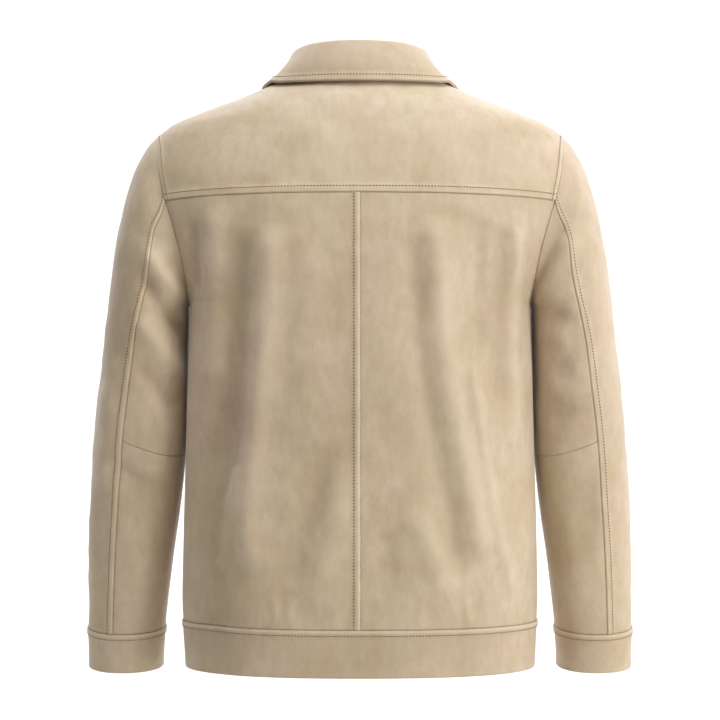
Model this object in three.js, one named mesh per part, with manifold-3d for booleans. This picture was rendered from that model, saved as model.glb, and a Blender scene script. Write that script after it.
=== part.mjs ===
// Suede jacket with a shirt collar, a back yoke and a front zip, filled out as it is when worn.
// Millimetres. +Z is up, the front faces -Y and the wearer's left is +X.
// The origin is the middle of the neck's base, where the shoulders carry the jacket.
import * as THREE from 'three';
import { mergeVertices } from 'three/addons/utils/BufferGeometryUtils.js';
import Module from 'manifold-3d';

// Cloth walls and seams
const clothThickness = 2;
const seamGap = 0.3;
const weltRaise = 0.8;
const weltWidth = 5.5;
const weltStep = 6.6;

// Levels of the cross seams
const hemBottom = -639;
const hemTop = -586;
const underarm = -225;
const armholeTop = -33;
const yokeSeam = -106;
const yokeSeamDrop = 5;
const neckLevel = 36;
const frontNeckDrop = 81;
const neckHalfWidth = 72;
const zipHalfOpening = 4.5;

// Body below the underarm: half width at the sides
const bodyWidths = [
  { z: -640, half: 199.5 },
  { z: -590, half: 202.2 },
  { z: -560, half: 203.5 },
  { z: -480, half: 202 },
  { z: -400, half: 199.8 },
  { z: -310, half: 197.6 },
  { z: -225, half: 195.5 },
];

// Shoulder line from the armhole's top to the neck: half width of the jacket at each level
const shoulderLine = [
  { z: -33, half: 231 },
  { z: -20, half: 213 },
  { z: -7, half: 182 },
  { z: 6.7, half: 144 },
  { z: 21.6, half: 108 },
  { z: 36, half: 72 },
];

// Depth behind and before the shoulders' plane, and how square the section is (2 is an ellipse)
const bodyDepths = [
  { z: -640, back: 116, front: 117, power: 2.4 },
  { z: -586, back: 119, front: 120, power: 2.4 },
  { z: -480, back: 117, front: 118, power: 2.4 },
  { z: -400, back: 118, front: 119, power: 2.4 },
  { z: -310, back: 121, front: 122, power: 2.35 },
  { z: -225, back: 122, front: 123, power: 2.3 },
  { z: -160, back: 122, front: 119, power: 2.2 },
  { z: -106, back: 118, front: 107, power: 2.1 },
  { z: -60, back: 110, front: 91, power: 2 },
  { z: -33, back: 103, front: 81, power: 2 },
  { z: 0, back: 91, front: 66, power: 2 },
  { z: 21.6, back: 78, front: 53, power: 2 },
  { z: 36, back: 64, front: 43, power: 2 },
];

// Sleeve rings from the armhole down: outermost and innermost point, depth and place in Y, tilt
const sleeveRings = [
  { ring: 0, outX: 231, outZ: -33, inX: 195.5, inZ: -225, midY: 0, depth: 62, power: 2, tilt: 0 },
  { ring: 1, outX: 244, outZ: -46, inX: 196.6, inZ: -227.5, midY: -2, depth: 64, power: 2, tilt: 0 },
  { ring: 2, outX: 260, outZ: -76, inX: 197.2, inZ: -230.5, midY: -4, depth: 66.5, power: 2.05, tilt: 0 },
  { ring: 3, outX: 271, outZ: -112, inX: 197.5, inZ: -234.5, midY: -7, depth: 69, power: 2.1, tilt: 0 },
  { ring: 4, outX: 280, outZ: -152, inX: 197.6, inZ: -240.5, midY: -10, depth: 71.5, power: 2.15, tilt: 0 },
  { ring: 5, outX: 287, outZ: -200, inX: 197.8, inZ: -251, midY: -14, depth: 73, power: 2.2, tilt: 0 },
  { ring: 6, outX: 294, outZ: -256, inX: 198.4, inZ: -276, midY: -18, depth: 72, power: 2.2, tilt: 1 },
  { ring: 7, outX: 301, outZ: -316, inX: 199.2, inZ: -324, midY: -22, depth: 67.5, power: 2.2, tilt: 3 },
  { ring: 8, outX: 308, outZ: -373, inX: 200.6, inZ: -380, midY: -26, depth: 62, power: 2.2, tilt: 6 },
  { ring: 9, outX: 313.4, outZ: -452, inX: 208, inZ: -452, midY: -31, depth: 56, power: 2.2, tilt: 8 },
  { ring: 10, outX: 316, outZ: -525, inX: 218.5, inZ: -525, midY: -37, depth: 51, power: 2.15, tilt: 8 },
  { ring: 11, outX: 317.2, outZ: -600, inX: 227.5, inZ: -600, midY: -42, depth: 46.5, power: 2.1, tilt: 7 },
  { ring: 12, outX: 316.9, outZ: -647, inX: 230.5, inZ: -647, midY: -47, depth: 44.5, power: 2.1, tilt: 5 },
];
const armholeBow = 3.5;
const elbowDip = 0.25;
const cuffRing = 11;
const cuffEndRing = 12;

// Where the two long sleeve seams run, as turns about the sleeve: 0 outside, 90 back, 270 front
const sleeveSeams = [
  { ring: 0, back: 80, front: 247 },
  { ring: 1, back: 84.5, front: 246 },
  { ring: 2, back: 85.5, front: 245 },
  { ring: 3, back: 89, front: 244 },
  { ring: 4, back: 90.5, front: 243 },
  { ring: 5, back: 88, front: 243 },
  { ring: 6, back: 82.7, front: 243 },
  { ring: 7, back: 78.5, front: 243 },
  { ring: 8, back: 75.3, front: 243 },
  { ring: 9, back: 75, front: 243 },
  { ring: 10, back: 75, front: 243 },
  { ring: 12, back: 76.3, front: 243 },
];

// Largest folds: soft ridges (or troughs, with a negative height) along lines of X and Z, seen
// from behind ('back') or from the front ('front'); arm is 1 for the left sleeve, -1 for the right
const bodyFolds = [
  { face: 'back', width: 18, height: 6.5,
    line: [[99, -140], [103, -202], [106, -257], [113, -323], [123, -389], [127, -455], [117, -530]] },
  { face: 'back', width: 20, height: -6.5,
    line: [[130, -140], [133, -215], [138, -290], [146, -360], [156, -430]] },
  { face: 'back', width: 25, height: -6,
    line: [[140, -330], [152, -400], [162, -480], [164, -560], [164, -640]] },
  { face: 'back', width: 13, height: 4, line: [[162, -118], [164, -220], [167, -320]] },
  { face: 'back', width: 17, height: 3, line: [[16, -400], [32, -480], [48, -545]] },
  { face: 'back', width: 18, height: -3.5, line: [[38, -385], [58, -470], [76, -540]] },
  { face: 'back', width: 17, height: 6,
    line: [[-80, -130], [-86, -202], [-89, -257], [-97, -323], [-112, -389], [-127, -455], [-134, -510]] },
  { face: 'back', width: 15, height: -4.5,
    line: [[-60, -150], [-64, -250], [-72, -323], [-86, -389], [-100, -455], [-108, -520]] },
  { face: 'back', width: 12, height: -4, line: [[-130, -130], [-134, -200], [-137, -280]] },
  { face: 'back', width: 16, height: 3.5, line: [[-56, -450], [-80, -505], [-96, -560]] },
  { face: 'front', width: 17, height: -5.5, line: [[138, -150], [128, -280], [114, -430]] },
  { face: 'front', width: 16, height: 5, line: [[165, -240], [158, -360], [146, -500]] },
  { face: 'front', width: 15, height: 4.5, line: [[98, -120], [96, -240], [88, -360]] },
  { face: 'front', width: 14, height: 4, line: [[64, -380], [44, -470], [34, -550]] },
  { face: 'front', width: 16, height: -5.5, line: [[-142, -150], [-130, -290], [-116, -420]] },
  { face: 'front', width: 15, height: 4.5, line: [[-168, -240], [-160, -370], [-150, -480]] },
  { face: 'front', width: 16, height: 4.5, line: [[-96, -130], [-100, -250], [-92, -380]] },
  { face: 'front', width: 13, height: -4, line: [[-56, -360], [-74, -460], [-80, -550]] },
];
const sleeveFolds = [
  { face: 'back', arm: 1, width: 11, height: 5, line: [[242, -166], [222, -198], [198, -232]] },
  { face: 'back', arm: 1, width: 9, height: -4, line: [[244, -208], [200, -268]] },
  { face: 'back', arm: 1, width: 12, height: 5, line: [[252, -252], [228, -284], [202, -314]] },
  { face: 'back', arm: 1, width: 11, height: -4, line: [[252, -292], [206, -348]] },
  { face: 'front', arm: 1, width: 10, height: 5.5, line: [[242, -160], [212, -222]] },
  { face: 'front', arm: 1, width: 9, height: -5, line: [[246, -205], [216, -262]] },
  { face: 'front', arm: 1, width: 11, height: -5, line: [[284, -350], [232, -372]] },
  { face: 'front', arm: 1, width: 10, height: 4.5, line: [[292, -385], [228, -404]] },
  { face: 'back', arm: -1, width: 11, height: 5, line: [[242, -150], [222, -188], [198, -228]] },
  { face: 'back', arm: -1, width: 11, height: -4, line: [[214, -230], [236, -250]] },
  { face: 'back', arm: -1, width: 12, height: -4, line: [[220, -288], [238, -316]] },
  { face: 'front', arm: -1, width: 10, height: 5, line: [[238, -152], [210, -214]] },
  { face: 'front', arm: -1, width: 10, height: -5, line: [[248, -200], [214, -268]] },
  { face: 'front', arm: -1, width: 12, height: -5, line: [[288, -340], [236, -366]] },
];

// Collar, along half of the neck seam: 0 is the centre back, 1 the side, 2 the centre front.
// The leaf falls in a curve, full at the back and hollow over the shoulder.
const collarShape = [
  { along: 0, stand: 21, lean: 3.5, edgeTurn: 90, edgeZ: 18, bulge: 4 },
  { along: 0.5, stand: 20, lean: 3.5, edgeTurn: 45, edgeZ: 18.5, bulge: 1.5 },
  { along: 1, stand: 16, lean: 3, edgeTurn: 0, edgeZ: 22.3, bulge: -3.5 },
  { along: 1.35, stand: 15, lean: 3, edgeTurn: -46, edgeZ: 3, bulge: -1 },
  { along: 1.7, stand: 14, lean: 3, edgeTurn: -67, edgeZ: -36, bulge: 2 },
  { along: 2, stand: 13, lean: 3, edgeTurn: -77, edgeZ: -80, bulge: 3 },
];
const leafClearance = 4.2;
const leafRoll = [
  { out: 0, up: 0.3 },
  { out: 0.4, up: 5.5 },
  { out: 3.6, up: 9.6 },
  { out: 8.4, up: 9.2 },
];
const leafFallRows = [0.3, 0.62, 0.9, 1];

// Front zip
const chainHalf = 3;
const chainRecess = 0.4;
const tapeHalf = 15;
const tapeGap = 0.4;
const tapeThickness = 1;
const chainTop = -53;
const zipBoxTop = -630;
const zipBoxHalf = 4;
const zipBoxProud = 0.8;
const sliderLevel = -56;
const sliderHalfLength = 6;
const sliderHalfWidth = 4;
const sliderPlate = 1.6;
const sliderGap = 0.5;
const sliderPost = 2.4;
const bridgeHalfWidth = 1.1;
const bridgeHalfLength = 2.5;
const bridgeHeight = 3.4;
const bridgeBar = 1;
const pullDrop = 27;
const pullHalfWidth = 3.2;
const pullFoot = 4;
const pullThickness = 1.4;
const pullWindowHalf = 1.7;
const pullWindowDrop = 4.2;

// Mesh fineness
const backColumns = 9;
const frontColumns = 9;
const bodyRows = 11;
const zipRows = 18;

const suede = { color: 0xc8b291, roughness: 0.95, metalness: 0 };
const zipTapeCloth = { color: 0xb39a78, roughness: 0.9, metalness: 0 };
const zipMetal = { color: 0x8d7d63, roughness: 0.35, metalness: 1 };

const degrees = Math.PI / 180;
const group = new THREE.Group();

// A table as a smooth function: each column follows a cubic through its rows
function tableCurve(rows, key) {
  const names = Object.keys(rows[0]).filter((name) => name !== key);
  const at = rows.map((row) => row[key]);
  const slopeAt = (name, i) => {
    const before = Math.max(i - 1, 0);
    const after = Math.min(i + 1, rows.length - 1);
    return (rows[after][name] - rows[before][name]) / (at[after] - at[before]);
  };
  return (value) => {
    const clamped = Math.min(Math.max(value, at[0]), at[at.length - 1]);
    let i = 0;
    while (i < at.length - 2 && clamped > at[i + 1]) i += 1;
    const span = at[i + 1] - at[i];
    const t = (clamped - at[i]) / span;
    const result = {};
    for (const name of names) {
      const start = rows[i][name];
      const end = rows[i + 1][name];
      const startSlope = slopeAt(name, i) * span;
      const endSlope = slopeAt(name, i + 1) * span;
      result[name] = start * (1 + 2 * t) * (1 - t) ** 2 + startSlope * t * (1 - t) ** 2
        + end * t * t * (3 - 2 * t) - endSlope * t * t * (1 - t);
    }
    return result;
  };
}

const bodyWidthAt = tableCurve(bodyWidths, 'z');
const shoulderAt = tableCurve(shoulderLine, 'z');
const depthAt = tableCurve(bodyDepths, 'z');
const ringAt = tableCurve(sleeveRings, 'ring');
const sleeveSeamAt = tableCurve(sleeveSeams, 'ring');
const collarAt = tableCurve(collarShape, 'along');

function smoothStep(from, to, value) {
  const t = Math.min(Math.max((value - from) / (to - from), 0), 1);
  return t * t * (3 - 2 * t);
}

function signedPower(value, exponent) {
  return Math.sign(value) * Math.abs(value) ** exponent;
}

// Height of one fold over the point (x, z): full along its line, fading at both ends
function oneFold(fold, x, z) {
  let away = Infinity;
  let along = 0;
  let length = 0;
  for (let i = 1; i < fold.line.length; i += 1) {
    const [fromX, fromZ] = fold.line[i - 1];
    const [runX, runZ] = [fold.line[i][0] - fromX, fold.line[i][1] - fromZ];
    const run = Math.hypot(runX, runZ);
    const share = ((x - fromX) * runX + (z - fromZ) * runZ) / run ** 2;
    const nearest = Math.min(Math.max(share, 0), 1);
    const gap = Math.hypot(x - fromX - nearest * runX, z - fromZ - nearest * runZ);
    if (gap < away) {
      away = gap;
      along = length + nearest * run;
    }
    length += run;
  }
  const fade = Math.min(1.6 * fold.width, 0.4 * length);
  const ends = smoothStep(-0.35 * fade, fade, along) * smoothStep(-0.35 * fade, fade, length - along);
  return fold.height * ends * Math.exp(-((away / fold.width) ** 2));
}

// Height of all the folds of one face
function foldHeight(folds, face, x, z) {
  return folds.reduce((sum, fold) => (fold.face === face ? sum + oneFold(fold, x, z) : sum), 0);
}

// Armhole: the first sleeve ring, where the body and the sleeve are sewn together
const armhole = sleeveRings[0];
const armholeMid = { x: (armhole.outX + armhole.inX) / 2, z: (armhole.outZ + armhole.inZ) / 2 };
const armholeRun = { x: (armhole.outX - armhole.inX) / 2, z: (armhole.outZ - armhole.inZ) / 2 };

function armholeAtLevel(z) {
  const height = Math.min(Math.max((z - armholeMid.z) / armholeRun.z, -1), 1);
  const x = armholeMid.x + armholeRun.x * height + armholeBow * Math.sin(Math.PI * (1 - height));
  return { x, depth: armhole.depth * Math.sqrt(1 - height * height) };
}

// Half width of the body's section at a level, so that its surface runs through the armhole
function bodyHalfWidth(z, depth, power) {
  if (z >= armholeTop) return shoulderAt(z).half;
  if (z <= underarm) return bodyWidthAt(z).half;
  const hole = armholeAtLevel(z);
  return hole.x / (1 - (hole.depth / depth) ** power) ** (1 / power);
}

function bodySection(face, z) {
  const row = depthAt(z);
  const depth = row[face];
  return { half: bodyHalfWidth(z, depth, row.power), depth, power: row.power };
}

function bodyNormal(face, x, y, z) {
  const level = (height) => {
    const section = bodySection(face, height);
    return Math.abs(x / section.half) ** section.power + Math.abs(y / section.depth) ** section.power;
  };
  const section = bodySection(face, z);
  const slopeX = signedPower(x / section.half, section.power - 1) / section.half;
  const slopeY = signedPower(y / section.depth, section.power - 1) / section.depth;
  const slopeZ = (level(z + 0.5) - level(z - 0.5)) / section.power;
  return new THREE.Vector3(slopeX, slopeY, slopeZ).normalize();
}

// Point of the body's surface: turn 90 is the centre back, 0 the side or shoulder, -90 the front.
// side is 1 on the wearer's left and -1 on the right, where the point comes back mirrored.
function bodyPoint(turn, z, side, lift = 0) {
  const face = turn >= 0 ? 'back' : 'front';
  const section = bodySection(face, z);
  const x = section.half * signedPower(Math.cos(turn * degrees), 2 / section.power);
  const y = section.depth * signedPower(Math.sin(turn * degrees), 2 / section.power);
  const normal = bodyNormal(face, x, y, z);
  const awayFromSide = smoothStep(20, 70, Math.abs(y));
  const fold = foldHeight(bodyFolds, face, x * side, z) * awayFromSide;
  const point = new THREE.Vector3(x, y, z).addScaledVector(normal, fold + lift);
  return { point, normal };
}

function turnOfX(face, x, z) {
  const section = bodySection(face, z);
  const turn = Math.acos(Math.min((x / section.half) ** (section.power / 2), 1)) / degrees;
  return face === 'back' ? turn : -turn;
}

// Turn of the body's outer edge at a level: the armhole, or the side or shoulder seam
function edgeTurn(face, z) {
  if (z >= armholeTop || z <= underarm) return 0;
  return turnOfX(face, armholeAtLevel(z).x, z);
}

function sleevePoint(ring, turn, side, lift = 0) {
  const base = (r, t) => {
    const row = ringAt(r);
    const across = signedPower(Math.cos(t * degrees), 2 / row.power);
    const deep = signedPower(Math.sin(t * degrees), 2 / row.power);
    const bow = armholeBow * Math.sin(Math.PI * (1 - across)) * Math.max(1 - r / 3, 0);
    return new THREE.Vector3(
      (row.outX + row.inX) / 2 + (row.outX - row.inX) / 2 * across + bow,
      row.midY + row.depth * deep,
      (row.outZ + row.inZ) / 2 + (row.outZ - row.inZ) / 2 * across
        - row.depth * deep * Math.tan(row.tilt * degrees),
    );
  };
  const point = base(ring, turn);
  const around = base(ring, turn + 0.5).sub(base(ring, turn - 0.5));
  const down = base(Math.min(ring + 0.02, cuffEndRing), turn).sub(base(Math.max(ring - 0.02, 0), turn));
  const normal = down.cross(around).normalize();
  const face = point.y >= ringAt(ring).midY ? 'back' : 'front';
  const depthShare = Math.abs(point.y - ringAt(ring).midY) / ringAt(ring).depth;
  const ownFolds = sleeveFolds.filter(({ arm }) => arm === side);
  const fold = foldHeight(ownFolds, face, point.x, point.z)
    * smoothStep(0.2, 0.7, depthShare) * smoothStep(0, 2, ring);
  point.addScaledVector(normal, fold + lift);
  return { point, normal };
}

// Turns that divide a stretch of the armhole into equal lengths
function evenTurns(from, to, count) {
  const fine = 200;
  const lengths = [0];
  for (let i = 1; i <= fine; i += 1) {
    const a = sleevePoint(0, from + ((to - from) * (i - 1)) / fine, 1).point;
    const b = sleevePoint(0, from + ((to - from) * i) / fine, 1).point;
    lengths.push(lengths[i - 1] + a.distanceTo(b));
  }
  const turnAtLength = (length) => {
    let i = 1;
    while (i < fine && lengths[i] < length) i += 1;
    const share = (length - lengths[i - 1]) / (lengths[i] - lengths[i - 1]);
    return from + ((to - from) * (i - 1 + share)) / fine;
  };
  const total = lengths[fine];
  const turns = [];
  for (let i = 0; i <= count; i += 1) turns.push(turnAtLength((total * i) / count));
  return { turns, turnAtLength, total };
}

// Samples of the armhole seam, shared by the body and the sleeve that meet there
const yokeTurn = sleeveSeams[0].back;
const frontSeamTurn = sleeveSeams[0].front;
const yokeStretch = evenTurns(0, yokeTurn, 5);
const yokeWeltTurns = [
  yokeStretch.turnAtLength(yokeStretch.total - weltStep),
  yokeStretch.turnAtLength(yokeStretch.total - weltWidth),
];
const yokeTurns = [...yokeStretch.turns.slice(0, -1), ...yokeWeltTurns, yokeTurn];
const backTurns = evenTurns(yokeTurn, 180, 6).turns;
const underFrontTurns = evenTurns(180, frontSeamTurn, 4).turns;
const upperFrontTurns = evenTurns(frontSeamTurn, 360, 7).turns;

// Seam point of the armhole with the direction out of the seam and the one into the sleeve
function armholeSeam(turn) {
  const { point } = sleevePoint(0, turn, 1);
  const ahead = sleevePoint(0, turn + 0.5, 1).point;
  const behind = sleevePoint(0, turn - 0.5, 1).point;
  const tangent = ahead.sub(behind).normalize();
  const intoSleeve = new THREE.Vector3(-armholeRun.z, 0, armholeRun.x).negate();
  if (intoSleeve.x < 0) intoSleeve.negate();
  intoSleeve.normalize();
  const radial = tangent.clone().cross(intoSleeve).normalize();
  if (radial.dot(point.clone().sub(new THREE.Vector3(armholeMid.x, 0, armholeMid.z))) < 0) radial.negate();
  const tilt = 0.3 + 0.2 * Math.cos(turn * degrees);
  const normal = radial.clone().addScaledVector(intoSleeve, tilt).normalize();
  const across = intoSleeve.clone().addScaledVector(normal, -intoSleeve.dot(normal)).normalize();
  return { point, normal, across };
}

// Closed solid of one cloth, turned so that its faces point out
function addSolid(name, positions, index, cloth) {
  let volume = 0;
  for (let k = 0; k < index.length; k += 3) {
    const [a, b, c] = [0, 1, 2].map((n) => new THREE.Vector3().fromArray(positions, index[k + n] * 3));
    volume += a.dot(b.cross(c));
  }
  if (volume < 0) index.reverse();
  const geometry = new THREE.BufferGeometry();
  geometry.setAttribute('position', new THREE.Float32BufferAttribute(positions, 3));
  geometry.setIndex(index);
  geometry.computeVertexNormals();
  const mesh = new THREE.Mesh(geometry, new THREE.MeshStandardMaterial(cloth));
  mesh.name = name;
  group.add(mesh);
}

// Cloth wall between an outer and an inner grid of points, closed at its rims
function clothWall(name, outer, inner, side, cloth, ringed = false) {
  const rows = outer.length;
  const columns = outer[0].length;
  const positions = [];
  for (const grid of [outer, inner]) {
    for (const row of grid) {
      for (const p of row) positions.push(p.x * side, p.y, p.z);
    }
  }
  const outerAt = (i, j) => i * columns + (j % columns);
  const innerAt = (i, j) => rows * columns + outerAt(i, j);
  const index = [];
  const quad = (a, b, c, d) => index.push(a, b, c, a, c, d);
  const lastColumn = ringed ? columns : columns - 1;
  for (let i = 0; i < rows - 1; i += 1) {
    for (let j = 0; j < lastColumn; j += 1) {
      quad(outerAt(i, j), outerAt(i, j + 1), outerAt(i + 1, j + 1), outerAt(i + 1, j));
      quad(innerAt(i, j), innerAt(i + 1, j), innerAt(i + 1, j + 1), innerAt(i, j + 1));
    }
  }
  for (let j = 0; j < lastColumn; j += 1) {
    quad(outerAt(0, j), innerAt(0, j), innerAt(0, j + 1), outerAt(0, j + 1));
    quad(outerAt(rows - 1, j + 1), innerAt(rows - 1, j + 1), innerAt(rows - 1, j), outerAt(rows - 1, j));
  }
  if (!ringed) {
    for (let i = 0; i < rows - 1; i += 1) {
      quad(outerAt(i, 0), outerAt(i + 1, 0), innerAt(i + 1, 0), innerAt(i, 0));
      const last = columns - 1;
      quad(outerAt(i, last), innerAt(i, last), innerAt(i + 1, last), outerAt(i + 1, last));
    }
  }
  addSolid(name, positions, index, cloth);
}

function sideName(piece, side) {
  return `${piece}_${side > 0 ? 'left' : 'right'}`;
}

// Levels that the outer edges of the body panels share, from the armhole or the shoulder down
const yokeEdgeLevels = yokeTurns.map((turn) => sleevePoint(0, turn, 1).point.z);
const backEdgeLevels = backTurns.map((turn) => sleevePoint(0, turn, 1).point.z);
const frontEdgeTurns = [...underFrontTurns.slice(0, -1), ...upperFrontTurns];
const shoulderLevels = [neckLevel, 26, 14, 1, -11, -22];
const sideLevels = [];
for (let i = 1; i <= bodyRows; i += 1) sideLevels.push(underarm + ((hemTop - underarm) * i) / bodyRows);

// Levels down the middle of a panel that belong to the levels down its outer edge
function spreadLevels(top, bottom, count) {
  const levels = [];
  for (let i = 0; i < count; i += 1) levels.push(top + ((bottom - top) * i) / (count - 1));
  return levels;
}

// Share of the way from a panel's outer edge to its middle, a little closer at the edge
function columnShare(t) {
  return t + 0.11 * Math.sin(Math.PI * t);
}

function evenShares(count) {
  const shares = [];
  for (let i = 0; i <= count; i += 1) shares.push(i / count);
  return shares;
}

// Two grids of a wall from a function that gives each vertex its point, normal and rim
function gridWall(name, rowCount, columnCount, side, vertex, cloth = suede, ringed = false) {
  const outer = [];
  const inner = [];
  for (let i = 0; i < rowCount; i += 1) {
    const outerRow = [];
    const innerRow = [];
    for (let j = 0; j < columnCount; j += 1) {
      const { point, normal, raise = 0, thickness = clothThickness } = vertex(i, j);
      outerRow.push(point.clone().addScaledVector(normal, raise));
      innerRow.push(point.clone().addScaledVector(normal, -thickness));
    }
    outer.push(outerRow);
    inner.push(innerRow);
  }
  clothWall(name, outer, inner, side, cloth, ringed);
}

// Body vertex on the armhole seam, half the seam's gap inside it
function bodyRimAtArmhole(turn) {
  const seam = armholeSeam(turn);
  return { point: seam.point.addScaledVector(seam.across, -seamGap / 2), normal: seam.normal };
}

function backYokeSeamLevel(share) {
  return yokeSeam - yokeSeamDrop * (1 - share) ** 3;
}

// Columns of a body panel's half, from its outer edge to its middle
function backColumnList(welts) {
  const columns = evenShares(backColumns).map((share) => ({ share }));
  if (welts.includes('edge')) columns.splice(1, 0, { fromEdge: weltWidth }, { fromEdge: weltStep });
  if (welts.includes('centre')) {
    columns.splice(-1, 0, { fromCentre: weltStep }, { fromCentre: weltWidth });
  }
  return columns;
}

function columnTurn(column, face, z, outerTurn, middleX) {
  const middleTurn = middleX > 0 ? turnOfX(face, middleX, z) : (face === 'back' ? 90 : -90);
  if (column.fromCentre) return turnOfX(face, middleX + column.fromCentre, z);
  if (column.fromEdge) {
    const near = bodyPoint(outerTurn, z, 1).point;
    const far = bodyPoint(outerTurn + 1, z, 1).point;
    return outerTurn + column.fromEdge / near.distanceTo(far);
  }
  return outerTurn + (middleTurn - outerTurn) * columnShare(column.share);
}

// Back panels, from the yoke seam to the hem band
for (const side of [1, -1]) {
  const columns = backColumnList(side > 0 ? ['centre'] : []);
  const edgeLevels = [...backEdgeLevels, ...sideLevels];
  const middleLevels = spreadLevels(yokeSeam, hemTop, edgeLevels.length);
  const lastRow = edgeLevels.length - 1;
  gridWall(sideName('back', side), edgeLevels.length, columns.length, side, (i, j) => {
    const column = columns[j];
    const share = column.fromCentre ? 1 : column.share;
    let z = edgeLevels[i] + (middleLevels[i] - edgeLevels[i]) * smoothStep(0, 0.9, share);
    if (i === 0) z = backYokeSeamLevel(share) - seamGap / 2;
    if (i === lastRow) z += seamGap / 2;
    const rim = i < backTurns.length ? bodyRimAtArmhole(backTurns[i]) : null;
    if (j === 0 && rim) {
      if (i === 0) rim.point.z = z;
      if (i === backTurns.length - 1) rim.point.y += seamGap / 2;
      return rim;
    }
    const turn = columnTurn(column, 'back', z, edgeTurn('back', edgeLevels[i]), seamGap / 2);
    const vertex = bodyPoint(turn, z, side);
    if (j === 0) vertex.point.y += seamGap / 2;
    const onWelt = side > 0 && (share === 1 && column.fromCentre !== weltStep);
    return { ...vertex, raise: onWelt ? weltRaise : 0 };
  });
}

// Back yoke, from armhole to armhole and up to the shoulder seams and the neck
const yokeRows = [
  ...shoulderLevels.map((z) => ({ z })),
  ...yokeTurns.map((turn, k) => ({ turn, z: yokeEdgeLevels[k] })),
];
const yokeHalfColumns = backColumnList(['edge']);
{
  const middleLevels = [
    ...spreadLevels(neckLevel, yokeSeam + 22, yokeRows.length - 3),
    yokeSeam + weltStep, yokeSeam + weltWidth, yokeSeam,
  ];
  const lastRow = yokeRows.length - 1;
  const halfCount = yokeHalfColumns.length - 1;
  gridWall('back_yoke', yokeRows.length, 2 * halfCount + 1, 1, (i, j) => {
    const side = j <= halfCount ? 1 : -1;
    const k = side > 0 ? j : 2 * halfCount - j;
    const column = yokeHalfColumns[k];
    const row = yokeRows[i];
    const share = column.fromEdge ? column.fromEdge / 230 : column.share;
    let z = row.z + (middleLevels[i] - row.z) * smoothStep(0, 0.9, share);
    if (i === lastRow) z = backYokeSeamLevel(share) + seamGap / 2;
    const raised = i >= lastRow - 1 || (k <= 1 && row.turn !== undefined);
    let vertex;
    if (k === 0 && row.turn !== undefined) {
      vertex = bodyRimAtArmhole(row.turn);
      if (i === lastRow) vertex.point.z = z;
      if (row.turn === 0) vertex.point.y += seamGap / 2;
    } else if (i === 0) {
      vertex = neckRim(columnTurn(column, 'back', z, 0, 0), z);
      if (k === 0) vertex.point.y += seamGap / 2;
    } else {
      vertex = bodyPoint(columnTurn(column, 'back', z, edgeTurn('back', row.z), 0), z, side);
      if (k === 0) vertex.point.y += seamGap / 2;
    }
    vertex.point.x *= side;
    vertex.normal = vertex.normal.clone();
    vertex.normal.x *= side;
    return { ...vertex, raise: raised ? weltRaise : 0 };
  });
}

// Neck seam: the body's rim leans half way to the collar stand that rises from it
function neckSeam(turn, z) {
  const { point, normal } = bodyPoint(turn, z, 1);
  const outward = new THREE.Vector3(point.x, point.y, 0).normalize();
  const seamNormal = normal.clone().add(outward).normalize();
  const tangent = new THREE.Vector3(-outward.y, outward.x, 0);
  const across = tangent.cross(seamNormal).normalize();
  if (across.z < 0) across.negate();
  return { point, normal: seamNormal, across, outward };
}

function neckRim(turn, z) {
  const seam = neckSeam(turn, z);
  return { point: seam.point.addScaledVector(seam.across, -seamGap / 2), normal: seam.normal };
}

// Front half of the neck seam: a round neckline from the shoulder (0) to the zip (1)
function frontNeckPlace(share) {
  const lastAngle = Math.acos(zipHalfOpening / neckHalfWidth);
  const angle = lastAngle * share;
  const z = neckLevel - (frontNeckDrop * Math.sin(angle) ** 2) / Math.sin(lastAngle) ** 2;
  return { turn: turnOfX('front', neckHalfWidth * Math.cos(angle), z), z };
}

// Front panels, from the shoulder seam and the neck to the hem band
const frontColumnList = evenShares(frontColumns).map((share) => ({ share }));
frontColumnList.splice(-1, 0, { share: 1 - 0.5 / frontColumns, fromCentre: tapeHalf });
for (const side of [1, -1]) {
  const rows = [
    ...shoulderLevels.map((z) => ({ z })),
    ...frontEdgeTurns.map((turn) => ({ turn, z: sleevePoint(0, turn, 1).point.z })).reverse(),
    ...sideLevels.map((z) => ({ z })),
  ];
  const middleLevels = spreadLevels(neckLevel - frontNeckDrop, hemTop, rows.length);
  const lastRow = rows.length - 1;
  const neckRows = shoulderLevels.length + 6;
  gridWall(sideName('front', side), rows.length, frontColumnList.length, side, (i, j) => {
    const row = rows[i];
    const { share, fromCentre } = frontColumnList[j];
    if (i === 0) {
      const place = frontNeckPlace(share);
      const rim = neckRim(place.turn, place.z);
      if (j === 0) rim.point.y -= seamGap / 2;
      return rim;
    }
    let z = row.z + (middleLevels[i] - row.z) * Math.sin(90 * share * degrees) ** 2;
    if (i === lastRow) z += seamGap / 2;
    if (j === 0 && row.turn !== undefined) {
      const rim = bodyRimAtArmhole(row.turn);
      if (row.turn === 180 || row.turn === 360) rim.point.y -= seamGap / 2;
      return rim;
    }
    const outerTurn = edgeTurn('front', row.z);
    const middleTurn = turnOfX('front', zipHalfOpening, z);
    const plain = outerTurn + (middleTurn - outerTurn) * columnShare(share);
    const neckShare = frontNeckPlace(share).turn / frontNeckPlace(1).turn;
    const round = outerTurn + (middleTurn - outerTurn) * neckShare;
    const overTape = fromCentre && turnOfX('front', fromCentre, z);
    const turn = overTape || plain + (round - plain) * smoothStep(neckRows, 0, i);
    const vertex = bodyPoint(turn, z, side);
    if (j === 0) vertex.point.y -= seamGap / 2;
    return vertex;
  });
}

// Sleeve columns: the armhole's samples, carried down between the two long seams
function sleeveColumns(turns) {
  const first = turns[0];
  const last = turns[turns.length - 1];
  return turns.map((turn) => ({ turn, share: (turn - first) / (last - first) }));
}

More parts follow.
